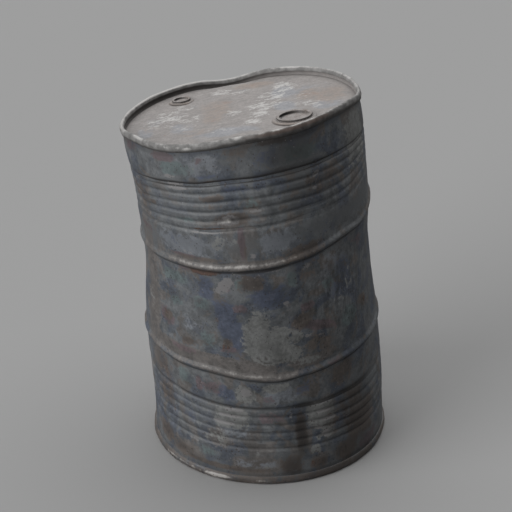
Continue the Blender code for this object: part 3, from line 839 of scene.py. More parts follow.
@dataclass(frozen=True)
class Spot:
    """An oval mark on the top head's panel: millimetres and percent."""

    x: float
    y: float
    half_x: float
    half_y: float
    percent: float

    def at(self, x: Array, y: Array) -> Array:
        """Share at each point: e to the minus square of the summed squares of both offsets."""
        across = (x - self.x / MM_IN_METRE) / (self.half_x / MM_IN_METRE)
        along = (y - self.y / MM_IN_METRE) / (self.half_y / MM_IN_METRE)
        return self.percent / 100.0 * np.exp(-((across**2 + along**2) ** 2))


Ovals = dict[Mark, tuple[tuple[float, ...], ...]]


def laid(ovals: Ovals, kind: type, first: Array, second: Array) -> dict[Mark, Array]:
    """Every mark's share at each point: the most of its ovals.

    Args:
        ovals: The rows of each mark.
        kind: Patch or Spot, which a row describes.
        first: Angle in degrees, or x.
        second: Level, or y.

    Returns:
        One array for each mark.
    """
    shares = {mark: np.zeros_like(second) for mark in Mark}
    for mark, rows in ovals.items():
        for row in rows:
            shares[mark] = np.maximum(shares[mark], kind(*row).at(first, second))
    return shares


# Angle, level, half angle, half height, percent and, for some, tilt
WALL_PATCHES: Ovals = {
    Mark.BLUE: (
        (-80, 825, 6, 22, 55), (-107, 802, 6, 8, 55), (-96, 768, 8, 8, 55), (-129, 750, 7, 12, 38),
        (-131, 725, 7, 10, 30), (-128, 655, 9, 20, 40), (-113, 640, 5, 12, 45), (-48, 640, 9, 20, 40),
        (-115, 540, 5, 38, 80), (-84, 520, 11, 34, 80, -10), (85, 520, 20, 45, 90),
        (-45, 500, 10, 60, 55), (-104.5, 440, 6.5, 85, 100, 12), (170, 400, 16, 60, 80),
        (-101.5, 365, 3, 30, 42), (-70, 258, 6, 18, 55), (-108.5, 248, 5, 18, 92), (-133, 152, 6, 22, 42),
        (-120, 66, 6, 14, 34),
    ),
    Mark.TEAL: (
        (-123, 820, 10, 20, 80), (-62, 820, 12, 22, 75), (-88, 735, 5, 12, 60), (-122, 705, 6, 7, 70),
        (-98, 558, 3, 14, 80, 45), (-134, 550, 9, 20, 80), (-73.5, 550, 3, 22, 80), (-54, 505, 5, 20, 60),
        (-118, 490, 6, 25, 70), (-134, 480, 5, 22, 70, 20), (-116, 390, 6, 35, 60),
        (-40, 388, 7, 28, 80, -20), (-131, 255, 6, 30, 60), (50, 250, 20, 30, 70), (-122, 72, 6, 18, 60),
    ),
    Mark.FADED: (
        # The row at -20 degrees and 790 mm is a painted highlight: it lightens the wall's right edge as a
        # lamp from the right would.
        (-108, 825, 12, 22, 30), (-20, 790, 13, 80, 80), (-152, 740, 11, 90, 45), (-104, 655, 9, 20, 45),
        (118, 640, 14, 26, 80), (-146, 550, 10, 30, 20), (-57, 530, 6, 22, 42), (-42, 470, 12, 60, 35),
        (-156, 460, 8, 100, 36), (-91, 408, 7.5, 70, 100), (20, 400, 14, 50, 90),
        (-72, 395, 4, 16, 90, -25), (-83.5, 392, 8.5, 46, 100, -28), (-62, 362, 8, 26, 62),
        (-78, 360, 9, 26, 100, -15), (-84, 345, 9, 13, 80), (-66, 328, 9, 10, 60), (-84, 272, 8, 14, 95),
        (-98.5, 253, 5.5, 22, 110), (-87, 192, 4.5, 28, 50), (-107, 185, 10, 34, 100),
        (-61, 178, 9, 42, 95), (-60, 125, 6, 20, 75), (-118, 120, 14, 35, 45), (-97, 85, 10, 14, 40),
        (-66, 85, 3.5, 14, 75), (-97, 50, 16, 14, 32),
    ),
    Mark.PINK: (
        (-155, 850, 8, 16, 80), (-129, 848, 7, 12, 95), (-110, 838, 3, 7, 70), (-156, 785, 8, 12, 60),
        (-88, 662, 2, 30, 42), (-152, 655, 8, 14, 55), (-95, 650, 1.8, 34, 110), (-124, 618, 12, 4, 80),
        (-126, 583, 5, 7, 80), (-32, 560, 10, 20, 55, -30), (-105, 553, 5, 18, 55, 30),
        (-98.5, 490, 4, 15, 80), (-66, 468, 4, 14, 100), (96, 440, 14, 30, 80),
        (-141, 415, 6, 26, 85, -35), (-61, 411, 13, 13, 100, -20), (-105, 372, 5, 12, 80),
        (-130, 335, 12, 12, 70), (-52, 300, 7, 14, 60), (-123, 255, 1.8, 24, 95), (-116, 255, 6, 18, 75),
        (-88, 240, 4, 12, 50), (-88, 190, 9, 22, 60), (-30, 45, 10, 28, 70),
    ),
    Mark.BROWN: (
        (-72, 855, 14, 8, 80), (-92, 845, 7, 14, 60), (-106, 752, 7, 9, 85), (-154, 745, 12, 22, 75),
        (-50, 740, 12, 34, 70), (30, 740, 30, 40, 70), (-150, 735, 8, 55, 62), (-108, 735, 14, 8, 50),
        (-142, 730, 4, 8, 80), (-98.5, 706, 9, 15, 105), (-101, 700, 6, 8, 70), (-94, 635, 1.3, 30, 60),
        (-116, 615, 18, 7, 60), (-66, 605, 12, 22, 85), (-92, 556, 7, 24, 95), (-66, 556, 10, 30, 55),
        (-52, 540, 3, 20, 60), (-111.5, 455, 3, 14, 60), (60, 450, 60, 80, 60),
        (-69, 435, 6, 24, 90, -20), (-140, 420, 3, 22, 95, -35), (-105.5, 393, 3, 16, 100),
        (-27, 392, 5, 18, 80, -30), (-127, 368, 5, 14, 95, 15), (-60, 365, 12, 34, 65),
        (-120, 328, 34, 10, 40), (-48, 262, 10, 40, 80), (-148, 255, 9, 45, 65), (-148, 180, 8, 40, 75),
        (-46, 165, 16, 60, 60), (-72.5, 140, 3.8, 60, 90), (-106, 110, 9, 26, 45), (-36, 110, 14, 60, 80),
        (-152, 62, 8, 30, 90), (130, 60, 60, 30, 70), (-79, 55, 7, 30, 95), (-48, 55, 9, 30, 90),
        (-138, 48, 9, 20, 70), (-64, 45, 6, 16, 90), (-118, 38, 34, 9, 85),
    ),
    Mark.RUST: (
        (-90, 822, 2, 5, 50), (-106, 790, 5, 2.5, 75), (-97, 707, 5, 10, 30), (-110, 687, 10, 3.5, 85),
        (-64, 600, 8, 16, 36), (40, 590, 18, 12, 85), (-115.5, 583.5, 8, 8.5, 120),
        (150, 480, 14, 24, 60), (-142, 428, 3, 12, 60, -35), (-26, 392, 3, 8, 65, -30),
        (-107, 378, 3, 9, 70), (100, 300, 16, 12, 85), (-147, 245, 2.5, 14, 35), (-50, 222, 5, 6, 35),
        (-56, 170, 6, 30, 40), (-66, 48, 6, 14, 45),
    ),
    Mark.PALE: (
        (-64, 822, 2, 6, 45), (-127, 800, 4, 6, 75), (-124, 775, 6, 4, 95), (-54, 762, 2.6, 7, 75),
        (-148, 735, 6, 55, 33), (-56, 733, 2, 5, 65), (-86, 718, 3.5, 4, 75), (-100.5, 704, 6.5, 13, 80),
        (-112, 679, 10, 3, 80), (65, 650, 5, 12, 85), (-123, 628, 4, 6, 60), (-91, 622, 2.5, 8, 65),
        (-82, 577, 5.5, 6, 75), (-66, 568, 3, 12, 60), (-105, 556, 4.6, 13, 125, 40),
        (-108.5, 537, 4, 7, 100), (-77, 490, 2, 11, 80, -15), (-46, 418, 1.6, 12, 60),
        (-67, 390, 3, 7, 75), (-58, 388, 4, 10, 55), (-98, 257, 3.5, 13, 85), (130, 240, 6, 14, 85),
        (-105.5, 206, 5, 5, 115), (-58, 205, 5, 7, 80), (-108, 188.5, 6, 5, 115),
        (-77.5, 188, 1.6, 20, 75), (-60, 183, 5.5, 6, 80), (-111, 167, 5.5, 5, 115), (-57, 160, 5, 7, 75),
        (-63, 140, 4, 6, 75), (-60, 122, 3, 12, 80), (-130, 93, 5, 5, 60),
    ),
    # Besides grime, these rows hold painted shade: a band under the upper hoop, the upper hoop and the
    # wall on the right side, away from the light, and the dented crease near -72 degrees.
    Mark.DARK: (
        (-116, 828, 1.6, 14, 45, 15), (-98, 822, 1.6, 8, 45), (-66, 822, 17, 36, 74),
        (-75, 815, 1.3, 18, 75), (-105, 750, 5, 6, 55), (-64, 735, 14, 60, 50), (-98.5, 706, 9, 16, 52),
        (-60, 620, 16, 10, 30), (-62, 609, 10, 9, 52), (-88, 585, 11, 7, 50), (-70, 565, 9, 16, 36),
        (-44, 561, 1.4, 7, 60), (-96, 558, 2, 22, 55), (-94, 556, 5, 20, 35), (-93, 555, 6, 22, 52),
        (-89, 552, 3, 10, 60), (-30, 530, 6, 12, 45, -30), (-37, 520, 2, 5, 55),
        (-142, 508, 4, 8, 55, 20), (-65, 505, 2.6, 5, 50), (-95.5, 478, 2.5, 10, 60),
        (-67, 475, 3, 8, 50), (-33, 460, 2, 6, 60, -20), (-53, 455, 1.6, 6, 60, -20),
        (-98, 437, 2.5, 5, 55), (-66, 420, 7, 12, 38, -20), (-63, 412, 11, 8, 50, -20),
        (-28, 380, 2.5, 18, 50), (-95, 260, 0.9, 8, 75), (-70, 205, 5, 22, 46), (-101, 160, 2, 5, 60),
        (-40, 150, 15, 85, 56), (-48, 140, 18, 110, 34), (-72.5, 130, 4.2, 75, 74), (-38, 60, 18, 40, 42),
        (-48, 55, 1.4, 16, 55), (-130, 50, 20, 12, 35), (-79, 50, 6.5, 26, 64),
    ),
    # These rows are painted highlights on ridges that face the light, over worn steel.
    Mark.BARE: (
        (-101.5, 703.5, 3.8, 8, 62), (-107, 188.5, 4, 3, 50), (-121, 90, 10, 3.2, 60),
    ),
    Mark.CALM: (
        (-112, 828, 34, 26, 75), (-130, 735, 26, 62, 70), (-125, 465, 16, 110, 48),
        (-154, 460, 9, 330, 60), (-100, 450, 10, 80, 35), (-86, 410, 9, 60, 50), (-125, 255, 26, 30, 40),
        (-122, 155, 30, 85, 50), (-90, 60, 26, 45, 55), (-115, 45, 36, 30, 40),
    ),
    Mark.STREAK: (
        (-40, 700, 24, 60, 40), (-45, 450, 26, 110, 70),
    ),
    Mark.WARM: (
        (-120, 615, 18, 6, 90), (-104, 601, 42, 12, 95), (-154, 460, 8, 330, 80),
        (-120, 327, 42, 21, 125), (-64, 327, 14, 16, 115), (-104, 306, 46, 12, 85),
        (-60, 175, 9, 50, 100), (-115, 120, 8, 34, 80), (-35, 120, 14, 60, 80), (-136, 52, 14, 30, 85),
        (-64, 52, 6, 22, 90), (-97, 50, 16, 32, 95),
    ),
    Mark.LIGHT: (
        (-111, 828, 14, 28, 66), (-103, 650, 6, 24, 50), (-79, 648, 12, 26, 85), (-125, 645, 18, 28, 90),
        (-134, 552, 9, 22, 50), (-50, 515, 12, 70, 56), (-125, 425, 10, 36, 42), (-82, 255, 9, 26, 85),
        (-99, 253, 5, 20, 60), (-106, 150, 9, 50, 60), (-97, 56, 15, 20, 50),
    ),
}

# Place in x and y, half size in x and y, percent
HEAD_SPOTS: Ovals = {
    Mark.BLUE: (
        (102, 140, 28, 60, 80), (105, 10, 30, 40, 70), (205, -20, 30, 40, 70), (-230, -60, 20, 50, 50),
        (-140, -60, 35, 45, 55), (-25, -140, 60, 35, 70),
    ),
    Mark.BROWN: (
        (30, 222, 55, 28, 85), (165, 85, 35, 50, 70), (-60, 60, 45, 85, 60), (215, 60, 45, 80, 70),
        (-70, -20, 30, 50, 55), (-225, -30, 20, 40, 40), (-110, -110, 50, 35, 40),
    ),
    Mark.RUST: (
        (25, 225, 30, 14, 50), (-35, 110, 14, 22, 50), (165, 90, 20, 26, 52), (192, 62, 12, 16, 55),
        (-70, -35, 12, 14, 65), (-182, -98, 8, 10, 60),
    ),
    Mark.PALE: (
        (-50, 198, 42, 30, 62), (0, 180, 30, 30, 55), (105, 180, 36, 55, 70), (78, 110, 42, 45, 75),
        (-140, 108, 32, 28, 62), (150, 80, 30, 40, 36), (58, 35, 45, 45, 70), (-175, 30, 62, 72, 62),
        (120, 20, 30, 30, 36), (-120, 10, 30, 45, 50), (170, 8, 28, 24, 75), (-22, 5, 25, 32, 58),
        (-215, 0, 30, 55, 50), (192, -25, 18, 22, 45), (45, -30, 36, 36, 70), (-140, -60, 45, 30, 30),
        (30, -80, 28, 22, 80), (-50, -115, 35, 22, 45), (-110, -200, 80, 24, 45),
    ),
}

# As on the wall, with levels counted from the rim's edge
RIM_PATCHES: Ovals = {
    Mark.BROWN: (
        (-62, -7, 26, 7, 90),
    ),
    # Painted shade low on the near rim's outer face.
    Mark.DARK: (
        (-96, -11, 3, 5, 35), (-84, -12, 3, 5, 40),
    ),
    # Worn bare steel along the rim, and painted highlights where it faces the light.
    Mark.BARE: (
        (-50, -1, 22, 2.2, 40), (20, -1, 40, 2.5, 40), (62, -1, 12, 2.5, 60), (130, -1, 48, 3.2, 90),
        (185, -1, 14, 4, 80), (-72, -1.5, 3.5, 3.5, 55), (-163, -2, 5, 4, 60), (-78, -2, 3, 4, 45),
        (-144, -3, 4, 3.5, 55), (-90, -4, 3, 6, 55), (-126, -8, 2.5, 3, 40), (-119, -8, 1.5, 3, 60),
        (-108, -8, 1.6, 3.5, 45), (-114, -11, 2.6, 4, 95),
    ),
}


def add_marks(item: bpy.types.Object, amounts: dict[Mark, Array]) -> None:
    """Store each mark's amount on a piece."""
    for mark, amount in amounts.items():
        write_values(item, mark.value, np.clip(amount, 0.0, MOST_MARK))


@dataclass(frozen=True)
class Band:
    """A band of grooves round the wall. Its top groove is deeper than the others and carries more painted
    shade.
    """

    start: float
    pitch: float
    top_depth: float
    top_groove_shade: float
    grooves: int = 6

    @property
    def end(self) -> float:
        """Level of the upper edge."""
        return self.start + self.grooves * self.pitch

    def count(self, level: Array) -> tuple[Array, Array]:
        """Pitches over the lower edge at each level, and whether the level is in the band."""
        count = (level - self.start) / self.pitch
        return count, (count > 0.0) & (count < self.grooves)


@dataclass
class BodyShell:
    """The body sheet: a tube with two rolling hoops and two ribbed bands."""

    hoop_rise: float = 0.0058
    hoop_half: float = 0.0125
    hoop_drop: float = 0.0052
    crease_depth: float = 0.0009
    crease_half: float = 0.0056
    groove_depth: float = 0.0027
    groove_power: float = 2.6
    band_recess: float = 0.0004
    bands: tuple[Band, ...] = (Band(0.0899, 0.0222, 0.55, 0.50), Band(0.6730, 0.0199, 0.90, 1.24))
    end_gap: float = 0.0035
    chime_end: float = 0.0215
    hoop_span: float = 0.020
    stiff_end: tuple[float, float] = (0.024, 0.040)
    row_counts: tuple[int, ...] = (5, 11, 67, 8, 25, 26, 25, 8, 63, 8, 5)
    inner_rows: int = 18
    crease_place: float = 0.68
    top_groove: tuple[float, float] = (0.42, 0.32)
    top_shadow: tuple[float, float] = (0.36, 0.38)
    band_fade: float = 0.6
    ridge_place: tuple[float, float] = (0.30, 0.10)
    crest_place: tuple[float, float] = (0.0008, 0.0054)
    uneven: float = 0.12
    sways: tuple[Buckle, ...] = (
        Buckle(-22.0, 0.155, 38.0, 0.090, -0.0130),
        Buckle(-66.0, 0.155, 12.0, 0.090, -0.0020),
        Buckle(-156.0, 0.155, 12.0, 0.090, -0.0060),
        Buckle(-42.0, 0.690, 20.0, 0.060, -0.0095),
        Buckle(-154.0, 0.735, 10.0, 0.080, -0.0040),
    )
    swell: Ripple = Ripple(3, 7, 5.0, 0.0009)
    dings: Ripple = Ripple(5, 26, 20.0, 0.0003)
    wander: Ripple = Ripple(7, 16, 9.0, 0.0009)

    def hoop_share(self, level: Array) -> Array:
        """How far each level stands out of the wall, as a share of a hoop's rise: half a wave."""
        total = np.zeros_like(level)
        for crest in (LOWER_HOOP, UPPER_HOOP):
            share = np.clip((level - crest + self.hoop_drop) / self.hoop_half, -1.0, 1.0)
            total += (1.0 + np.cos(math.pi * share)) / 2.0
        return total

    def crease_share(self, level: Array) -> Array:
        """Narrow crease at the lower foot of each hoop."""
        drop = self.hoop_drop + self.crease_place * self.hoop_half
        return sum(
            bell((level - crest + drop) / self.crease_half) for crest in (LOWER_HOOP, UPPER_HOOP)
        )

    def groove_share(self, swayed: Array) -> tuple[Array, Array]:
        """Depth of the grooves, and membership of a band, as shares at each level.

        A groove is a raised cosine to a power, which leaves round ridges between narrow grooves.
        A bell is added on the uppermost groove of a band.
        """
        place, half = self.top_groove
        depth = np.zeros_like(swayed)
        inside = np.zeros_like(swayed)
        for band in self.bands:
            count, within = band.count(swayed)
            wave = (1.0 - np.cos(2.0 * math.pi * count)) / 2.0
            depth += np.where(within, wave**self.groove_power, 0.0)
            depth += band.top_depth * bell((count - band.grooves + place) / half)
            from_end = np.minimum(count, band.grooves - count)
            inside += np.where(within, smooth_step(0.0, self.band_fade, from_end), 0.0)
        return depth, inside

    def levels(self) -> Array:
        """Levels of the outer rows from the top down: closer on hoops and in bands."""
        lower, upper = self.bands
        stops = (
            self.end_gap, self.chime_end, lower.start, lower.end,
            LOWER_HOOP - self.hoop_span, LOWER_HOOP + self.hoop_span,
            UPPER_HOOP - self.hoop_span, UPPER_HOOP + self.hoop_span,
            upper.start, upper.end, HEIGHT - self.chime_end, HEIGHT - self.end_gap,
        )
        runs = [
            np.linspace(start, end, count, endpoint=False)
            for start, end, count in zip(stops, stops[1:], self.row_counts)
        ]
        return np.concatenate([*runs, stops[-1:]])[::-1]

    def build(self, material: bpy.types.Material) -> bpy.types.Object:
        """Make the closed tube: outer rows down, then inner rows up."""
        outer = self.levels()
        inner = np.linspace(outer[-1], outer[0], self.inner_rows)
        rows = len(outer) + len(inner)
        level = np.repeat(np.concatenate((outer, inner)), COLUMNS)
        angle = np.tile(np.arange(COLUMNS) * (2.0 * math.pi / COLUMNS), rows)
        degrees = np.degrees(angle)
        is_outer = np.arange(len(level)) < len(outer) * COLUMNS
        swayed = level - sum(one.at(degrees, level) for one in self.sways)
        groove, inside = self.groove_share(swayed)
        crease = self.crease_share(level)
        vary = np.clip(self.wander.at(angle, level * 0.4) / self.wander.height, -1.5, 1.5)
        relief = self.hoop_rise * self.hoop_share(level)
        relief -= self.groove_depth * groove * (1.0 + vary * self.uneven)
        relief -= self.band_recess * inside + self.crease_depth * crease
        free = smooth_step(*self.stiff_end, level) * smooth_step(*self.stiff_end, HEIGHT - level)
        relief += free * (self.swell.at(angle, level) + self.dings.at(angle, level))
        recess = np.minimum(1.0, inside) * (self.groove_depth + self.band_recess)
        radius = np.where(is_outer, BODY_RADIUS + relief, BODY_RADIUS - SHEET - recess)
        shaken = np.where(is_outer, level + free * self.wander.at(angle, level * 0.25), level)
        straight = polar(radius, angle, shaken)
        item = turned_ring("body_wall", CRUSH.carry(straight), rows, COLUMNS)
        write_values(item, "straight", polar(np.full_like(level, BODY_RADIUS), angle, level))
        add_marks(item, self.marks(degrees, level, swayed, groove, crease))
        shade(item, material)
        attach(item, "drum")
        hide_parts("body_shell")
        return item

    def marks(self, degrees: Array, level: Array, swayed: Array, groove: Array, crease: Array
              ) -> dict[Mark, Array]:
        """Amount of each mark: placed patches, worn crests with painted highlights, and grime with
        painted shade in the low places.
        """
        amounts = laid(WALL_PATCHES, Patch, degrees, level)
        amounts[Mark.CALM] += 0.88 * bell((level - 0.645) / 0.026)
        under_rim = bell((level - HEIGHT + CHIME_HEIGHT + 0.004) / 0.008)
        over_foot = bell((level - CHIME_HEIGHT - 0.003) / 0.010)
        over, half = self.crest_place
        crest = sum(
            share * bell((level - place - over) / half)
            for place, share in ((LOWER_HOOP, 0.85), (UPPER_HOOP, 1.0))
        )
        # Shares round the barrel that peak on the side that faces the light, for painted highlights and
        # shade.
        lit = 0.35 + 0.65 * facing(degrees, -115.0, 40.0)
        bare_and_glint_spread = 0.30 + 0.70 * facing(degrees, -104.0, 42.0)
        ridge = np.zeros_like(level)
        top_groove = np.zeros_like(level)
        for band in self.bands:
            count, within = band.count(swayed)
            place, half = self.top_shadow
            top_groove += band.top_groove_shade * bell((count - band.grooves + place) / half)
            place, half = self.ridge_place
            ridge += np.where(within, bell((count % 1.0 - place) / half), 0.0)
        # Worn bare steel on the hoops' crests and the bands' ridges, brightest towards the light: in part
        # a painted highlight.
        amounts[Mark.BARE] += 0.70 * crest * bare_and_glint_spread + 0.16 * ridge * lit
        # Grime and painted shade in the grooves, and a painted shadow in the crease under each hoop.
        amounts[Mark.DARK] += 0.22 * np.minimum(groove, 1.2) ** 2 + 0.75 * crease
        # Painted shade in each band's top groove.
        amounts[Mark.DARK] += (0.45 + 0.45 * lit) * top_groove
        # Painted shadow under the top chime, and a darker line just over the bottom chime.
        amounts[Mark.DARK] += 0.60 * under_rim + 0.55 * over_foot
        amounts[Mark.RUST] += 0.22 * crease + 0.15 * over_foot
        return amounts


@dataclass(frozen=True)
class BungSizes:
    """Sizes of one bung set, as in the frame's solids."""

    thread_radius: float
    thread_wall: float
    thread_length: float
    pitch: float
    recess_radius: float
    recess_depth: float
    dish_wall: float
    ring_width: float
    ring_height: float
    lug_width: float
    lug_reach: float
    lug_height: float
    gasket_height: float
    washer_height: float
    washer_width: float
    flange_wall: float
    flange_base: float
    flange_base_width: float
    flange_taper: float
    lip_width: float
    boss_height: float
    boss_margin: float
    boss_slope: float
    lip_sheet: float = 0.0012
    run_gap: float = 0.0005
    ring_gap: float = 0.0006
    skirt_gap: float = 0.0018
    seat_gap: float = 0.0003

    @property
    def dish(self) -> float:
        """Outside radius of the plug's dish."""
        return self.recess_radius + self.dish_wall

    @property
    def well(self) -> float:
        """Inside radius of the flange's well."""
        return self.dish + self.run_gap

    @property
    def neck(self) -> float:
        """Outside radius of the flange's neck."""
        return self.well + self.flange_wall

    @property
    def hole(self) -> float:
        """Radius of the hole in the boss."""
        return self.neck + self.seat_gap

    @property
    def lip(self) -> float:
        """Outside radius of the flange's lip."""
        return self.neck + self.lip_width

    @property
    def boss(self) -> float:
        """Edge of the boss's flat top."""
        return self.hole + self.boss_margin + self.lip_width

    @property
    def lip_top(self) -> float:
        """Height of the flange's lip over the panel."""
        return self.boss_height + self.seat_gap + self.lip_sheet

    @property
    def ring_top(self) -> float:
        """Height of the plug's ring over the panel."""
        return self.lip_top + self.ring_gap + self.ring_height

    @property
    def dish_bottom(self) -> float:
        """Height of the underside of the plug's dish."""
        return self.ring_top - self.recess_depth - self.dish_wall

    @property
    def seat(self) -> float:
        """Height of the well's floor."""
        return self.dish_bottom - 2.0 * self.seat_gap - self.gasket_height

    @property
    def base_top(self) -> float:
        """Upper face of the flange's base."""
        return self.boss_height - SHEET - 2.0 * self.seat_gap - self.washer_height


LARGE_BUNG = BungSizes(
    thread_radius=0.0298, thread_wall=0.0032, thread_length=0.0160, pitch=0.002209,
    recess_radius=0.0362, recess_depth=0.0070, dish_wall=0.0014,
    ring_width=0.0074, ring_height=0.0036,
    lug_width=0.0080, lug_reach=0.0045, lug_height=0.0040,
    gasket_height=0.0034, washer_height=0.0015, washer_width=0.0045,
    flange_wall=0.0026, flange_base=0.0030, flange_base_width=0.0060, flange_taper=0.0015,
    lip_width=0.0024, boss_height=0.0040, boss_margin=0.0075, boss_slope=0.0030,
)

SMALL_BUNG = BungSizes(
    thread_radius=0.0131, thread_wall=0.0026, thread_length=0.0120, pitch=0.001814,
    recess_radius=0.0180, recess_depth=0.0050, dish_wall=0.0012,
    ring_width=0.0054, ring_height=0.0028,
    lug_width=0.0050, lug_reach=0.0030, lug_height=0.0030,
    gasket_height=0.0028, washer_height=0.0012, washer_width=0.0029,
    flange_wall=0.0020, flange_base=0.0024, flange_base_width=0.0038, flange_taper=0.0012,
    lip_width=0.0018, boss_height=0.0030, boss_margin=0.0048, boss_slope=0.0022,
)


@dataclass(frozen=True)
class Thread:
    """A right-hand thread in the points that have its plain radius, between two heights.

    The cut is a raised cosine of the height over the pitch less the turn, and it fades in at the
    top. At the bottom the flange's thread fades out, and the plug's runs out into a taper.
    """

    plain: float
    top: float
    bottom: float
    pitch: float
    tapered: bool
    depth: float = 0.0009
    rows_a_turn: int = 8

    def profile(self) -> Array:
        """Rows of the plain radius and height, from the top down."""
        count = math.ceil((self.top - self.bottom) / self.pitch * self.rows_a_turn) + 1
        heights = np.linspace(self.top, self.bottom, count)
        return np.column_stack((np.full(count, self.plain), heights))

    def cut(self, radius: Array, angle: Array, height: Array) -> Array:
        """Radii with the thread, from flat arrays of radius, angle in radians and height."""
        phase = height / self.pitch - angle / (2.0 * math.pi)
        over_end = height - self.bottom
        depth = self.depth * (1.0 - np.cos(2.0 * math.pi * phase)) / 2.0
        depth *= smooth_step(0.0, self.pitch, self.top - height)
        if self.tapered:
            depth = np.maximum(depth, self.depth * smooth_step(self.pitch, 0.0, over_end))
        else:
            depth *= smooth_step(0.0, self.pitch, over_end)
        within = (np.abs(radius - self.plain) < TINY) & (height <= self.top) & (over_end >= 0.0)
        return np.where(within, radius - depth, radius)


@dataclass
class BungSet:
    """One bung: its raised boss on the head, flange, washer, gasket and plug."""

    name: str
    sizes: BungSizes
    reach: float
    direction: float
    columns: int = 120
    fillet: float = 0.0008
    row_length: float = 0.0016
    sharp_angle: float = 50.0

    @property
    def place(self) -> tuple[float, float]:
        """Where the bung's axis crosses the straight head."""
        turn = math.radians(self.direction)
        return (self.reach * math.cos(turn), self.reach * math.sin(turn))

    def matrix(self) -> Matrix:
        """Matrix from the bung's own axis and panel height to its place in the frame."""
        level = HEIGHT - PANEL_DEPTH
        return CRUSH.head_matrix() @ Matrix.Translation((*self.place, level))

    def boss(self) -> Array:
        """Closed section of the raised boss, with its foot sunk in the panel."""
        s = self.sizes
        foot = s.boss + s.boss_slope
        corners = [
            (s.hole, s.boss_height - SHEET / 2.0, 0.0),
            (s.hole, s.boss_height, 0.0005),
            (s.boss, s.boss_height, 0.0025),
            (foot, 0.0002, 0.0020),
            (foot + 2.0 * SHEET, -0.0003, 0.0),
            (foot + 2.0 * SHEET, -0.75 * SHEET, 0.0),
            (foot - SHEET, -0.75 * SHEET, 0.0015),
            (s.boss - SHEET, s.boss_height - SHEET, 0.0015),
            (s.hole, s.boss_height - SHEET, 0.0),
        ]
        return rounded(corners, 6)

    def place_piece(self, item: bpy.types.Object, material: bpy.types.Material, node: str,
                    body: str) -> None:
        """Move a piece to its place in the frame, shade it, attach it to its body and hide the frame's
        part that it stands for.
        """
        item.data.transform(self.matrix())
        shade(item, material)
        item.data.set_sharp_from_angle(angle=math.radians(self.sharp_angle))
        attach(item, body)
        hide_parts(node)

    def plug(self, material: bpy.types.Material) -> None:
        """The plug: recess with two lugs, ring, dish and threaded skirt."""
        s = self.sizes
        floor = s.ring_top - s.recess_depth
        ring = s.recess_radius + s.ring_width
        under = s.ring_top - s.ring_height
        skirt = s.seat - s.thread_length + s.skirt_gap
        f = self.fillet
        upper = rounded([
            (0.0, floor, 0.0),
            (s.recess_radius, floor, 1.5 * f),
            (s.recess_radius, s.ring_top, 1.8 * f),
            (ring, s.ring_top, 2.0 * f),
            (ring, under, f),
            (s.dish, under, 0.3 * f),
            (s.dish, s.dish_bottom, f),
            (s.thread_radius, s.dish_bottom, 0.0),
        ])
        thread = Thread(s.thread_radius, s.seat - 0.5 * s.pitch, skirt, s.pitch, True)
        inside = s.thread_radius - s.thread_wall
        lower = np.array([(inside, skirt), (inside, s.dish_bottom), (0.0, s.dish_bottom)])
        profile = np.vstack((
            refined(upper, self.row_length), thread.profile(), refined(lower, 4.0 * self.row_length)
        ))
        item = turned(f"{self.name}_plug", profile, self.columns, cut=thread.cut)
        for side in (-1.0, 1.0):
            combine(item, self.lug(side, floor), "UNION")
        write_values(item, Mark.DARK.value, self.dirt_and_shade(read_points(item)))
        self.place_piece(item, material, f"{self.name}_bung_plug", f"{self.name}_plug")

    def dirt_and_shade(self, points: Array) -> Array:
        """Painted shade on the plug: up the recess's wall and in its corner, most at the far left, which
        faces away from the light; and a dark line round the ring's outer edge.
        """
        s = self.sizes
        x, y, height = points.T
        reach = np.hypot(x, y)
        far = facing(np.degrees(np.arctan2(y, x)), 140.0, 70.0)
        low = smooth_step(s.ring_top - 0.0004, s.ring_top - 0.0018, height)
        wall = bell((reach - s.recess_radius) / 0.0012) * low
        corner = bell((reach - s.recess_radius) / (0.14 * s.recess_radius)) * low
        edge = bell((reach - s.recess_radius - s.ring_width) / 0.0012)
        dirt_and_shade = np.maximum((0.30 + 0.70 * far) * wall, (0.20 + 0.60 * far) * corner)
        return np.clip(np.maximum(dirt_and_shade, 0.75 * edge), 0.0, 1.0)

    def lug(self, side: float, floor: float) -> bpy.types.Object:
        """One lug of the recess: a rounded block whose section is a squared circle.

        Its sides are cosine and sine of the turn, each raised to the power 0.4, and its height
        rounds off at the top.
        """
        s = self.sizes
        sink = s.dish_wall / 2.0
        inner = s.recess_radius - s.lug_reach
        outer = s.recess_radius + sink
        turn = np.linspace(0.0, 2.0 * math.pi, 32, endpoint=False)
        high = np.array([1.0, 0.98, 0.90, 0.72, 0.0, 0.0])
        wide = np.array([0.0, 0.75, 0.93, 1.0, 1.0, 0.0])
        cos, sin = np.cos(turn), np.sin(turn)
        x = np.sign(cos) * np.abs(cos) ** 0.4 * (outer - inner) / 2.0
        y = np.sign(sin) * np.abs(sin) ** 0.4 * s.lug_width / 2.0
        points = np.column_stack((
            (wide[:, None] * x).ravel() + side * (inner + outer) / 2.0,
            (wide[:, None] * y).ravel(),
            np.repeat(floor - sink + high * (s.lug_height + sink), len(turn)),
        ))
        return turned_solid("lug", points, len(high), len(turn))

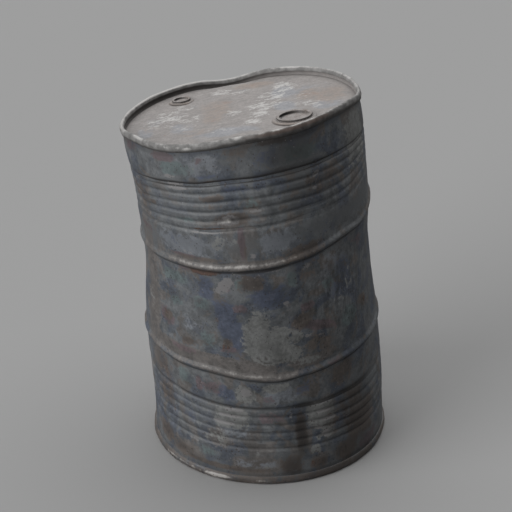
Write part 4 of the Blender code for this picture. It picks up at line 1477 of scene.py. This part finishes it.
    def flange(self, material: bpy.types.Material) -> None:
        """The flange: lip curled over the boss, neck, base under the panel, threaded spout."""
        s = self.sizes
        under = s.boss_height + s.seat_gap
        bore = s.thread_radius + s.run_gap
        spout = bore + s.flange_wall
        bottom = s.seat - s.thread_length
        base = s.neck + s.flange_base_width
        f = self.fillet
        outside = rounded([
            (s.well, (under + s.lip_top) / 2.0, 0.0),
            (s.well, s.lip_top, 0.5 * f),
            (s.lip, s.lip_top, 1.2 * f),
            (s.lip, under, 0.4 * f),
            (s.neck, under, 0.0),
            (s.neck, s.base_top, 0.0),
            (base, s.base_top, f),
            (base, s.base_top - s.flange_base, f),
            (s.neck, s.seat - s.flange_base, f),
            (spout, s.seat - s.flange_base - s.flange_taper, f),
            (spout, bottom, 0.5 * f),
            (bore, bottom, 0.0),
        ])
        thread = Thread(bore, s.seat - 1.5 * s.pitch, bottom, s.pitch, False)
        inside = rounded([
            (bore, thread.top + SPLIT, 0.0), (bore, s.seat, 0.3 * f), (s.well, s.seat, 0.3 * f),
            (s.well, (under + s.lip_top) / 2.0 - SPLIT, 0.0),
        ])
        upwards = thread.profile()[-2::-1]
        profile = np.vstack((refined(outside, self.row_length), upwards, inside))
        item = turned(f"{self.name}_flange", profile, self.columns, ring=True, cut=thread.cut)
        self.place_piece(item, material, f"{self.name}_bung_flange", "drum")

    def ring(self, kind: str, low: float, inner: float, outer: float, tall: float,
             material: bpy.types.Material, body: str) -> None:
        """A plain rubber ring with rounded edges."""
        f = 0.35 * tall
        section = rounded([
            (inner, low + tall / 2.0, 0.0), (inner, low + tall, f), (outer, low + tall, f),
            (outer, low, f), (inner, low, f), (inner, low + tall / 2.0 - SPLIT, 0.0),
        ])
        item = turned(f"{self.name}_{kind}_ring", section, self.columns, ring=True)
        self.place_piece(item, material, f"{self.name}_{kind}", body)

    def build(self, steel: bpy.types.Material, rubber: bpy.types.Material) -> None:
        """Make the plug, the flange and the two rubber rings."""
        s = self.sizes
        self.plug(steel)
        self.flange(steel)
        low = s.base_top + s.seat_gap
        inner = s.neck + s.seat_gap
        self.ring("flange_washer", low, inner, inner + s.washer_width, s.washer_height, rubber,
                  "drum")
        low = s.seat + s.seat_gap
        self.ring("plug_gasket", low, s.thread_radius + s.seat_gap, s.well - s.run_gap,
                  s.gasket_height, rubber, f"{self.name}_gasket")


@dataclass(frozen=True)
class Zone:
    """A part of a chime, by the radius and the depth from its edge: each from none to full."""

    radius: tuple[float, float]
    depth: tuple[float, float]

    def share(self, radius: Array, depth: Array) -> Array:
        """Product of a smooth step in radius and one in depth."""
        return smooth_step(*self.radius, radius) * smooth_step(*self.depth, depth)


@dataclass
class Head:
    """A head of the barrel: recessed panel, wall inside the body, and rolled chime."""

    roll_power: float = 2.1
    roll_bulge: float = 0.0030
    roll_inner: float = 0.0090
    roll_foot: float = 0.0145
    panel_bend: float = 0.005
    crown_steps: int = 34
    row_length: float = 0.0048
    sharp_angle: float = 55.0
    cutter_reach: float = 0.010
    roll_step: float = 0.0012
    hook_lift: float = 0.0004
    hook_top: float = 0.0030
    nicks: Ripple = Ripple(13, 40, 40.0, 0.00050)
    sags: Ripple = Ripple(17, 34, 0.0, 0.00050)
    outer_face: Zone = Zone((0.2850, 0.2880), (0.0245, 0.0235))
    over_wall: Zone = Zone((0.2790, 0.2802), (0.0140, 0.0100))
    inner_wall: Zone = Zone((0.2780, 0.2800), (0.0060, 0.0120))
    nicked_face: Zone = Zone((0.2868, 0.2890), (0.026, 0.020))
    sagging_edge: Zone = Zone((0.2800, 0.2820), (0.012, 0.004))

    def section(self) -> Array:
        """Radius and height from the panel's middle, over the chime, to the underside's middle.

        Heights are from the chime's edge down. The chime's roll is an oblong super-ellipse, with
        cosine and sine of the turn each raised to two over the power. It is shallower on the
        inside, where it bulges over the wall.
        """
        wall_outside = BODY_RADIUS - SHEET - SEAM_GAP
        wall_inside = wall_outside - SHEET
        roll_inside = wall_inside - self.roll_bulge
        hook = BODY_RADIUS + SEAM_GAP
        half_wide = (CHIME_RADIUS - roll_inside) / 2.0
        middle = roll_inside + half_wide
        turn = np.linspace(math.pi, -0.5 * math.pi, self.crown_steps)
        half_tall = np.where(turn > 0.5 * math.pi, self.roll_inner, CHIME_HEIGHT / 2.0)
        power = 2.0 / self.roll_power
        cos, sin = np.cos(turn), np.sin(turn)
        roll_r = middle + half_wide * np.sign(cos) * np.abs(cos) ** power
        roll_h = half_tall * (np.sign(sin) * np.abs(sin) ** power - 1.0)
        roll = np.column_stack((roll_r, roll_h))
        up = rounded([
            (0.0, -PANEL_DEPTH, 0.0), (PANEL_STIFF_RADIUS, -PANEL_DEPTH, 0.0),
            (wall_inside, -PANEL_DEPTH, self.panel_bend), (wall_inside, -self.roll_foot, 0.0016),
            (roll_inside, -self.roll_inner - self.roll_step, 0.0010),
            (roll_inside, -self.roll_inner - SPLIT, 0.0),
        ], 6)
        under = -PANEL_DEPTH - SHEET
        back = rounded([
            (hook, -CHIME_HEIGHT + self.hook_lift, 0.0), (hook, -self.hook_top, 0.0),
            (wall_outside, -self.hook_top, 0.0), (wall_outside, under, self.panel_bend + SHEET),
            (PANEL_STIFF_RADIUS, under, 0.0), (0.0, under, 0.0),
        ], 6)
        return np.vstack((
            refined(up, self.row_length), roll, refined(back, 2.0 * self.row_length)
        ))

    def build(self, name: str, node: str, slot: str, material: bpy.types.Material,
              top: bool, bungs: tuple[BungSet, ...] = ()) -> bpy.types.Object:
        """Make one head, with a boss and a hole for each bung.

        Args:
            name: Name of the piece.
            node: The frame's node that it stands for.
            slot: The record's material slot; not used.
            material: The finish.
            top: Whether this is the top head.
            bungs: The bungs that it carries.

        Returns:
            The finished object.
        """
        section = self.section()
        if not top:
            section = np.column_stack((section[:, 0], -section[:, 1]))[::-1]
        else:
            section = section + np.array((0.0, HEIGHT))
        item = turned(name, section, COLUMNS)
        for one in bungs:
            self.add_boss(item, one)
        straight = self.nicked(read_points(item), top)
        write_points(item, CRUSH.carry(straight))
        write_values(item, "straight", straight)
        add_marks(item, self.marks(straight, top, bungs))
        shade(item, material)
        item.data.set_sharp_from_angle(angle=math.radians(self.sharp_angle))
        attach(item, "drum")
        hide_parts(node)
        return item

    def nicked(self, straight: Array, top: bool) -> Array:
        """Small nicks and bends along the chime: a ripple in and out, and one that sags."""
        radius = np.hypot(straight[:, 0], straight[:, 1])
        angle = np.arctan2(straight[:, 1], straight[:, 0])
        edge = HEIGHT if top else 0.0
        depth = np.abs(straight[:, 2] - edge)
        share = self.nicked_face.share(radius, depth)
        inwards = self.nicks.at(angle, straight[:, 2]) * share
        scale = 1.0 + (inwards - self.nicks.height * share) / np.maximum(radius, TINY)
        result = straight.copy()
        result[:, :2] *= scale[:, None]
        if top:
            sag = self.sags.at(angle, np.zeros_like(angle)) + 1.5 * self.sags.height
            result[:, 2] -= np.maximum(sag, 0.0) * self.sagging_edge.share(radius, depth)
        return result

    def add_boss(self, item: bpy.types.Object, bung: BungSet) -> None:
        """Cut the panel under a boss and join the boss to it."""
        s = bung.sizes
        foot = s.boss + s.boss_slope
        reach = self.cutter_reach
        column = np.array([(0.0, reach), (foot, reach), (foot, -reach), (0.0, -reach)])
        cutter = turned("boss_cutter", column, bung.columns)
        boss = turned("boss", bung.boss(), bung.columns, ring=True)
        for other, operation in ((cutter, "DIFFERENCE"), (boss, "UNION")):
            other.data.transform(Matrix.Translation((*bung.place, HEIGHT - PANEL_DEPTH)))
            combine(item, other, operation)

    def marks(self, straight: Array, top: bool, bungs: tuple[BungSet, ...]) -> dict[Mark, Array]:
        """Amount of each mark: placed spots, worn chime with painted highlights, painted shade on the
        chime and round the bosses, and darker where the panel meets the wall.
        """
        x, y, level = straight.T
        radius = np.hypot(x, y)
        degrees = np.degrees(np.arctan2(y, x))
        depth = np.abs(level - (HEIGHT if top else 0.0))
        outer = self.outer_face.share(radius, depth)
        on_roll = np.maximum(outer, self.over_wall.share(radius, depth))
        crown = bell(depth / 0.0045) * smooth_step(0.2795, 0.2805, radius)
        shoulder = bell((radius - CHIME_RADIUS) / 0.003) * bell((depth - 0.004) / 0.006)
        spots = laid(HEAD_SPOTS if top else {}, Spot, x, y)
        patches = laid(RIM_PATCHES if top else {}, Patch, degrees, level - HEIGHT)
        amounts = {
            mark: np.maximum(spots[mark] * (1.0 - on_roll), patches[mark] * on_roll) for mark in Mark
        }
        if top:
            # Painted shade on the chime's inner wall, most at the back left, which faces away from the
            # light; and darker where the panel meets the wall.
            back = 0.30 + 0.58 * facing(degrees, 135.0, 60.0)
            wall = self.inner_wall.share(radius, depth) * (1.0 - outer)
            corner = bell((radius - 0.276) / 0.007) * (1.0 - on_roll)
            amounts[Mark.DARK] += back * wall + 0.30 * corner
            for one in bungs:
                away_x, away_y = x - one.place[0], y - one.place[1]
                gap = np.hypot(away_x, away_y) - one.sizes.boss - one.sizes.boss_slope
                # Painted shade round each boss's foot, most on its front side, which is in shade; a brown
                # stain round it is heavier there too.
                near = facing(np.degrees(np.arctan2(away_y, away_x)), -115.0, 65.0)
                amounts[Mark.DARK] += (0.30 + 0.62 * near) * bell(gap / 0.0030)
                amounts[Mark.BROWN] += (0.30 + 0.50 * near) * bell((gap + 0.003) / 0.006)
        # Worn bare steel on the chime's crown and shoulder, with painted highlights that grow towards the
        # lit side round -125 degrees.
        lit = facing(degrees, -125.0, 45.0)
        amounts[Mark.BARE] += (0.41 + 0.13 * lit) * crown + (0.02 + 0.16 * lit) * shoulder
        # Painted shade on the chimes' outer faces: the top one darker towards its lower edge and more on
        # the right, away from the light; the bottom one, less, towards the wall.
        shaded = facing(degrees, -50.0, 45.0) if top else 0.0
        lower = smooth_step(0.0085, 0.0190, depth + 0.0040 * shaded) * outer
        amounts[Mark.DARK] += (0.75 if top else 0.30) * lower
        amounts[Mark.SLATE] += on_roll
        if not top:
            # Painted glints along the bottom chime's face; a brown stain on its roll, and darker on the
            # right side.
            glints = ((0.95, -115.0, 7.0), (0.62, -93.0, 7.0), (0.70, -140.0, 22.0))
            shine = sum(share * facing(degrees, centre, half) for share, centre, half in glints)
            amounts[Mark.BARE] += bell((depth - 0.0120) / 0.0055) * outer * shine
            amounts[Mark.BROWN] += 0.70 * on_roll
            amounts[Mark.DARK] += 0.34 * on_roll * facing(degrees, -55.0, 26.0)
        return amounts


@dataclass
class Studio:
    """Floor, lights and the camera at the photo's viewing angle."""

    floor_color: Color = (0.343, 0.343, 0.343)
    bounce_color: Color = (0.150, 0.150, 0.150)
    floor_size: float = 40.0
    sky: float = 0.18
    key_strength: float = 2.50
    key_spread: float = 50.0
    key_from: tuple[float, float, float] = (-0.809, -0.486, 0.330)
    top_strength: float = 2.00
    top_spread: float = 96.0
    top_from: tuple[float, float, float] = (0.02, 0.58, 1.0)
    lens: float = 168.75
    camera_place: tuple[float, float, float] = (-0.0001, -5.1767, 3.3872)
    camera_pitch: float = 29.39

    def floor(self) -> None:
        """A wide grey floor, which throws less light back at the barrel than the camera sees."""
        signs = np.array([(-1.0, -1.0, 0.0), (1.0, -1.0, 0.0), (1.0, 1.0, 0.0), (-1.0, 1.0, 0.0)])
        item = put_mesh("floor", signs * self.floor_size / 2.0, [np.array([[0, 1, 2, 3]])])
        n = Nodes("floor_grey")
        seen = n.add("LightPath", "Is Camera Ray", {})
        color = n.mix(seen, self.bounce_color, self.floor_color)
        n.put(n.shader.inputs["Base Color"], color)
        n.shader.inputs["Roughness"].default_value = 0.9
        n.shader.inputs["Specular IOR Level"].default_value = 0.0
        item.data.materials.append(n.material)

    def lights(self) -> None:
        """A weak even sky, a broad lamp from the left and a broader one from above."""
        world = bpy.data.worlds.new("sky")
        world.use_nodes = True
        background = world.node_tree.nodes["Background"]
        background.inputs["Color"].default_value = (1.0, 1.0, 1.0, 1.0)
        background.inputs["Strength"].default_value = self.sky
        bpy.context.scene.world = world
        self.lamp("key", self.key_strength, self.key_spread, self.key_from)
        self.lamp("top", self.top_strength, self.top_spread, self.top_from)

    def lamp(self, name: str, strength: float, spread: float, from_side: tuple[float, float, float]
             ) -> None:
        """One far lamp.

        Args:
            name: Name of the lamp.
            strength: Light that falls on a surface that faces the lamp.
            spread: Angle that the lamp fills, in degrees.
            from_side: Direction from the barrel to the lamp.
        """
        lamp = bpy.data.lights.new(name, "SUN")
        lamp.energy = strength
        lamp.angle = math.radians(spread)
        item = bpy.data.objects.new(name, lamp)
        item.rotation_euler = Vector(from_side).to_track_quat("Z", "Y").to_euler()
        bpy.context.scene.collection.objects.link(item)

    def camera(self) -> None:
        """The camera, which looks along +Y and down."""
        data = bpy.data.cameras.new("camera")
        data.lens = self.lens
        data.sensor_width = 36.0
        item = bpy.data.objects.new("camera", data)
        item.location = self.camera_place
        item.rotation_euler = (math.radians(90.0 - self.camera_pitch), 0.0, 0.0)
        bpy.context.scene.collection.objects.link(item)
        bpy.context.scene.camera = item

    def build(self) -> None:
        """Set the stage."""
        bpy.context.scene.view_settings.view_transform = "Standard"
        self.floor()
        self.lights()
        self.camera()


def report(item: bpy.types.Object) -> None:
    """Log a finished piece."""
    log.info("%s: %d faces", item.name, len(item.data.polygons))


def main() -> None:
    """Build the barrel's pieces in order and set the stage."""
    logging.basicConfig(level=logging.INFO, format="%(name)s %(message)s")
    Studio().build()
    wall = WallPaint().make()
    head = HeadFinish().make()
    steel = BungSteel().make()
    rubber = BungRubber().make()
    bungs = (BungSet("large", LARGE_BUNG, 0.165, -38.0), BungSet("small", SMALL_BUNG, 0.222, 133.0))
    report(BodyShell().build(wall))
    report(Head().build("top_cover", "top_head", "head_paint", head, True, bungs))
    report(Head().build("bottom_cover", "bottom_head", "body_paint", wall, False))
    for one in bungs:
        one.build(steel, rubber)
        log.info("%s bung set done", one.name)


if __name__ == "__main__":
    main()
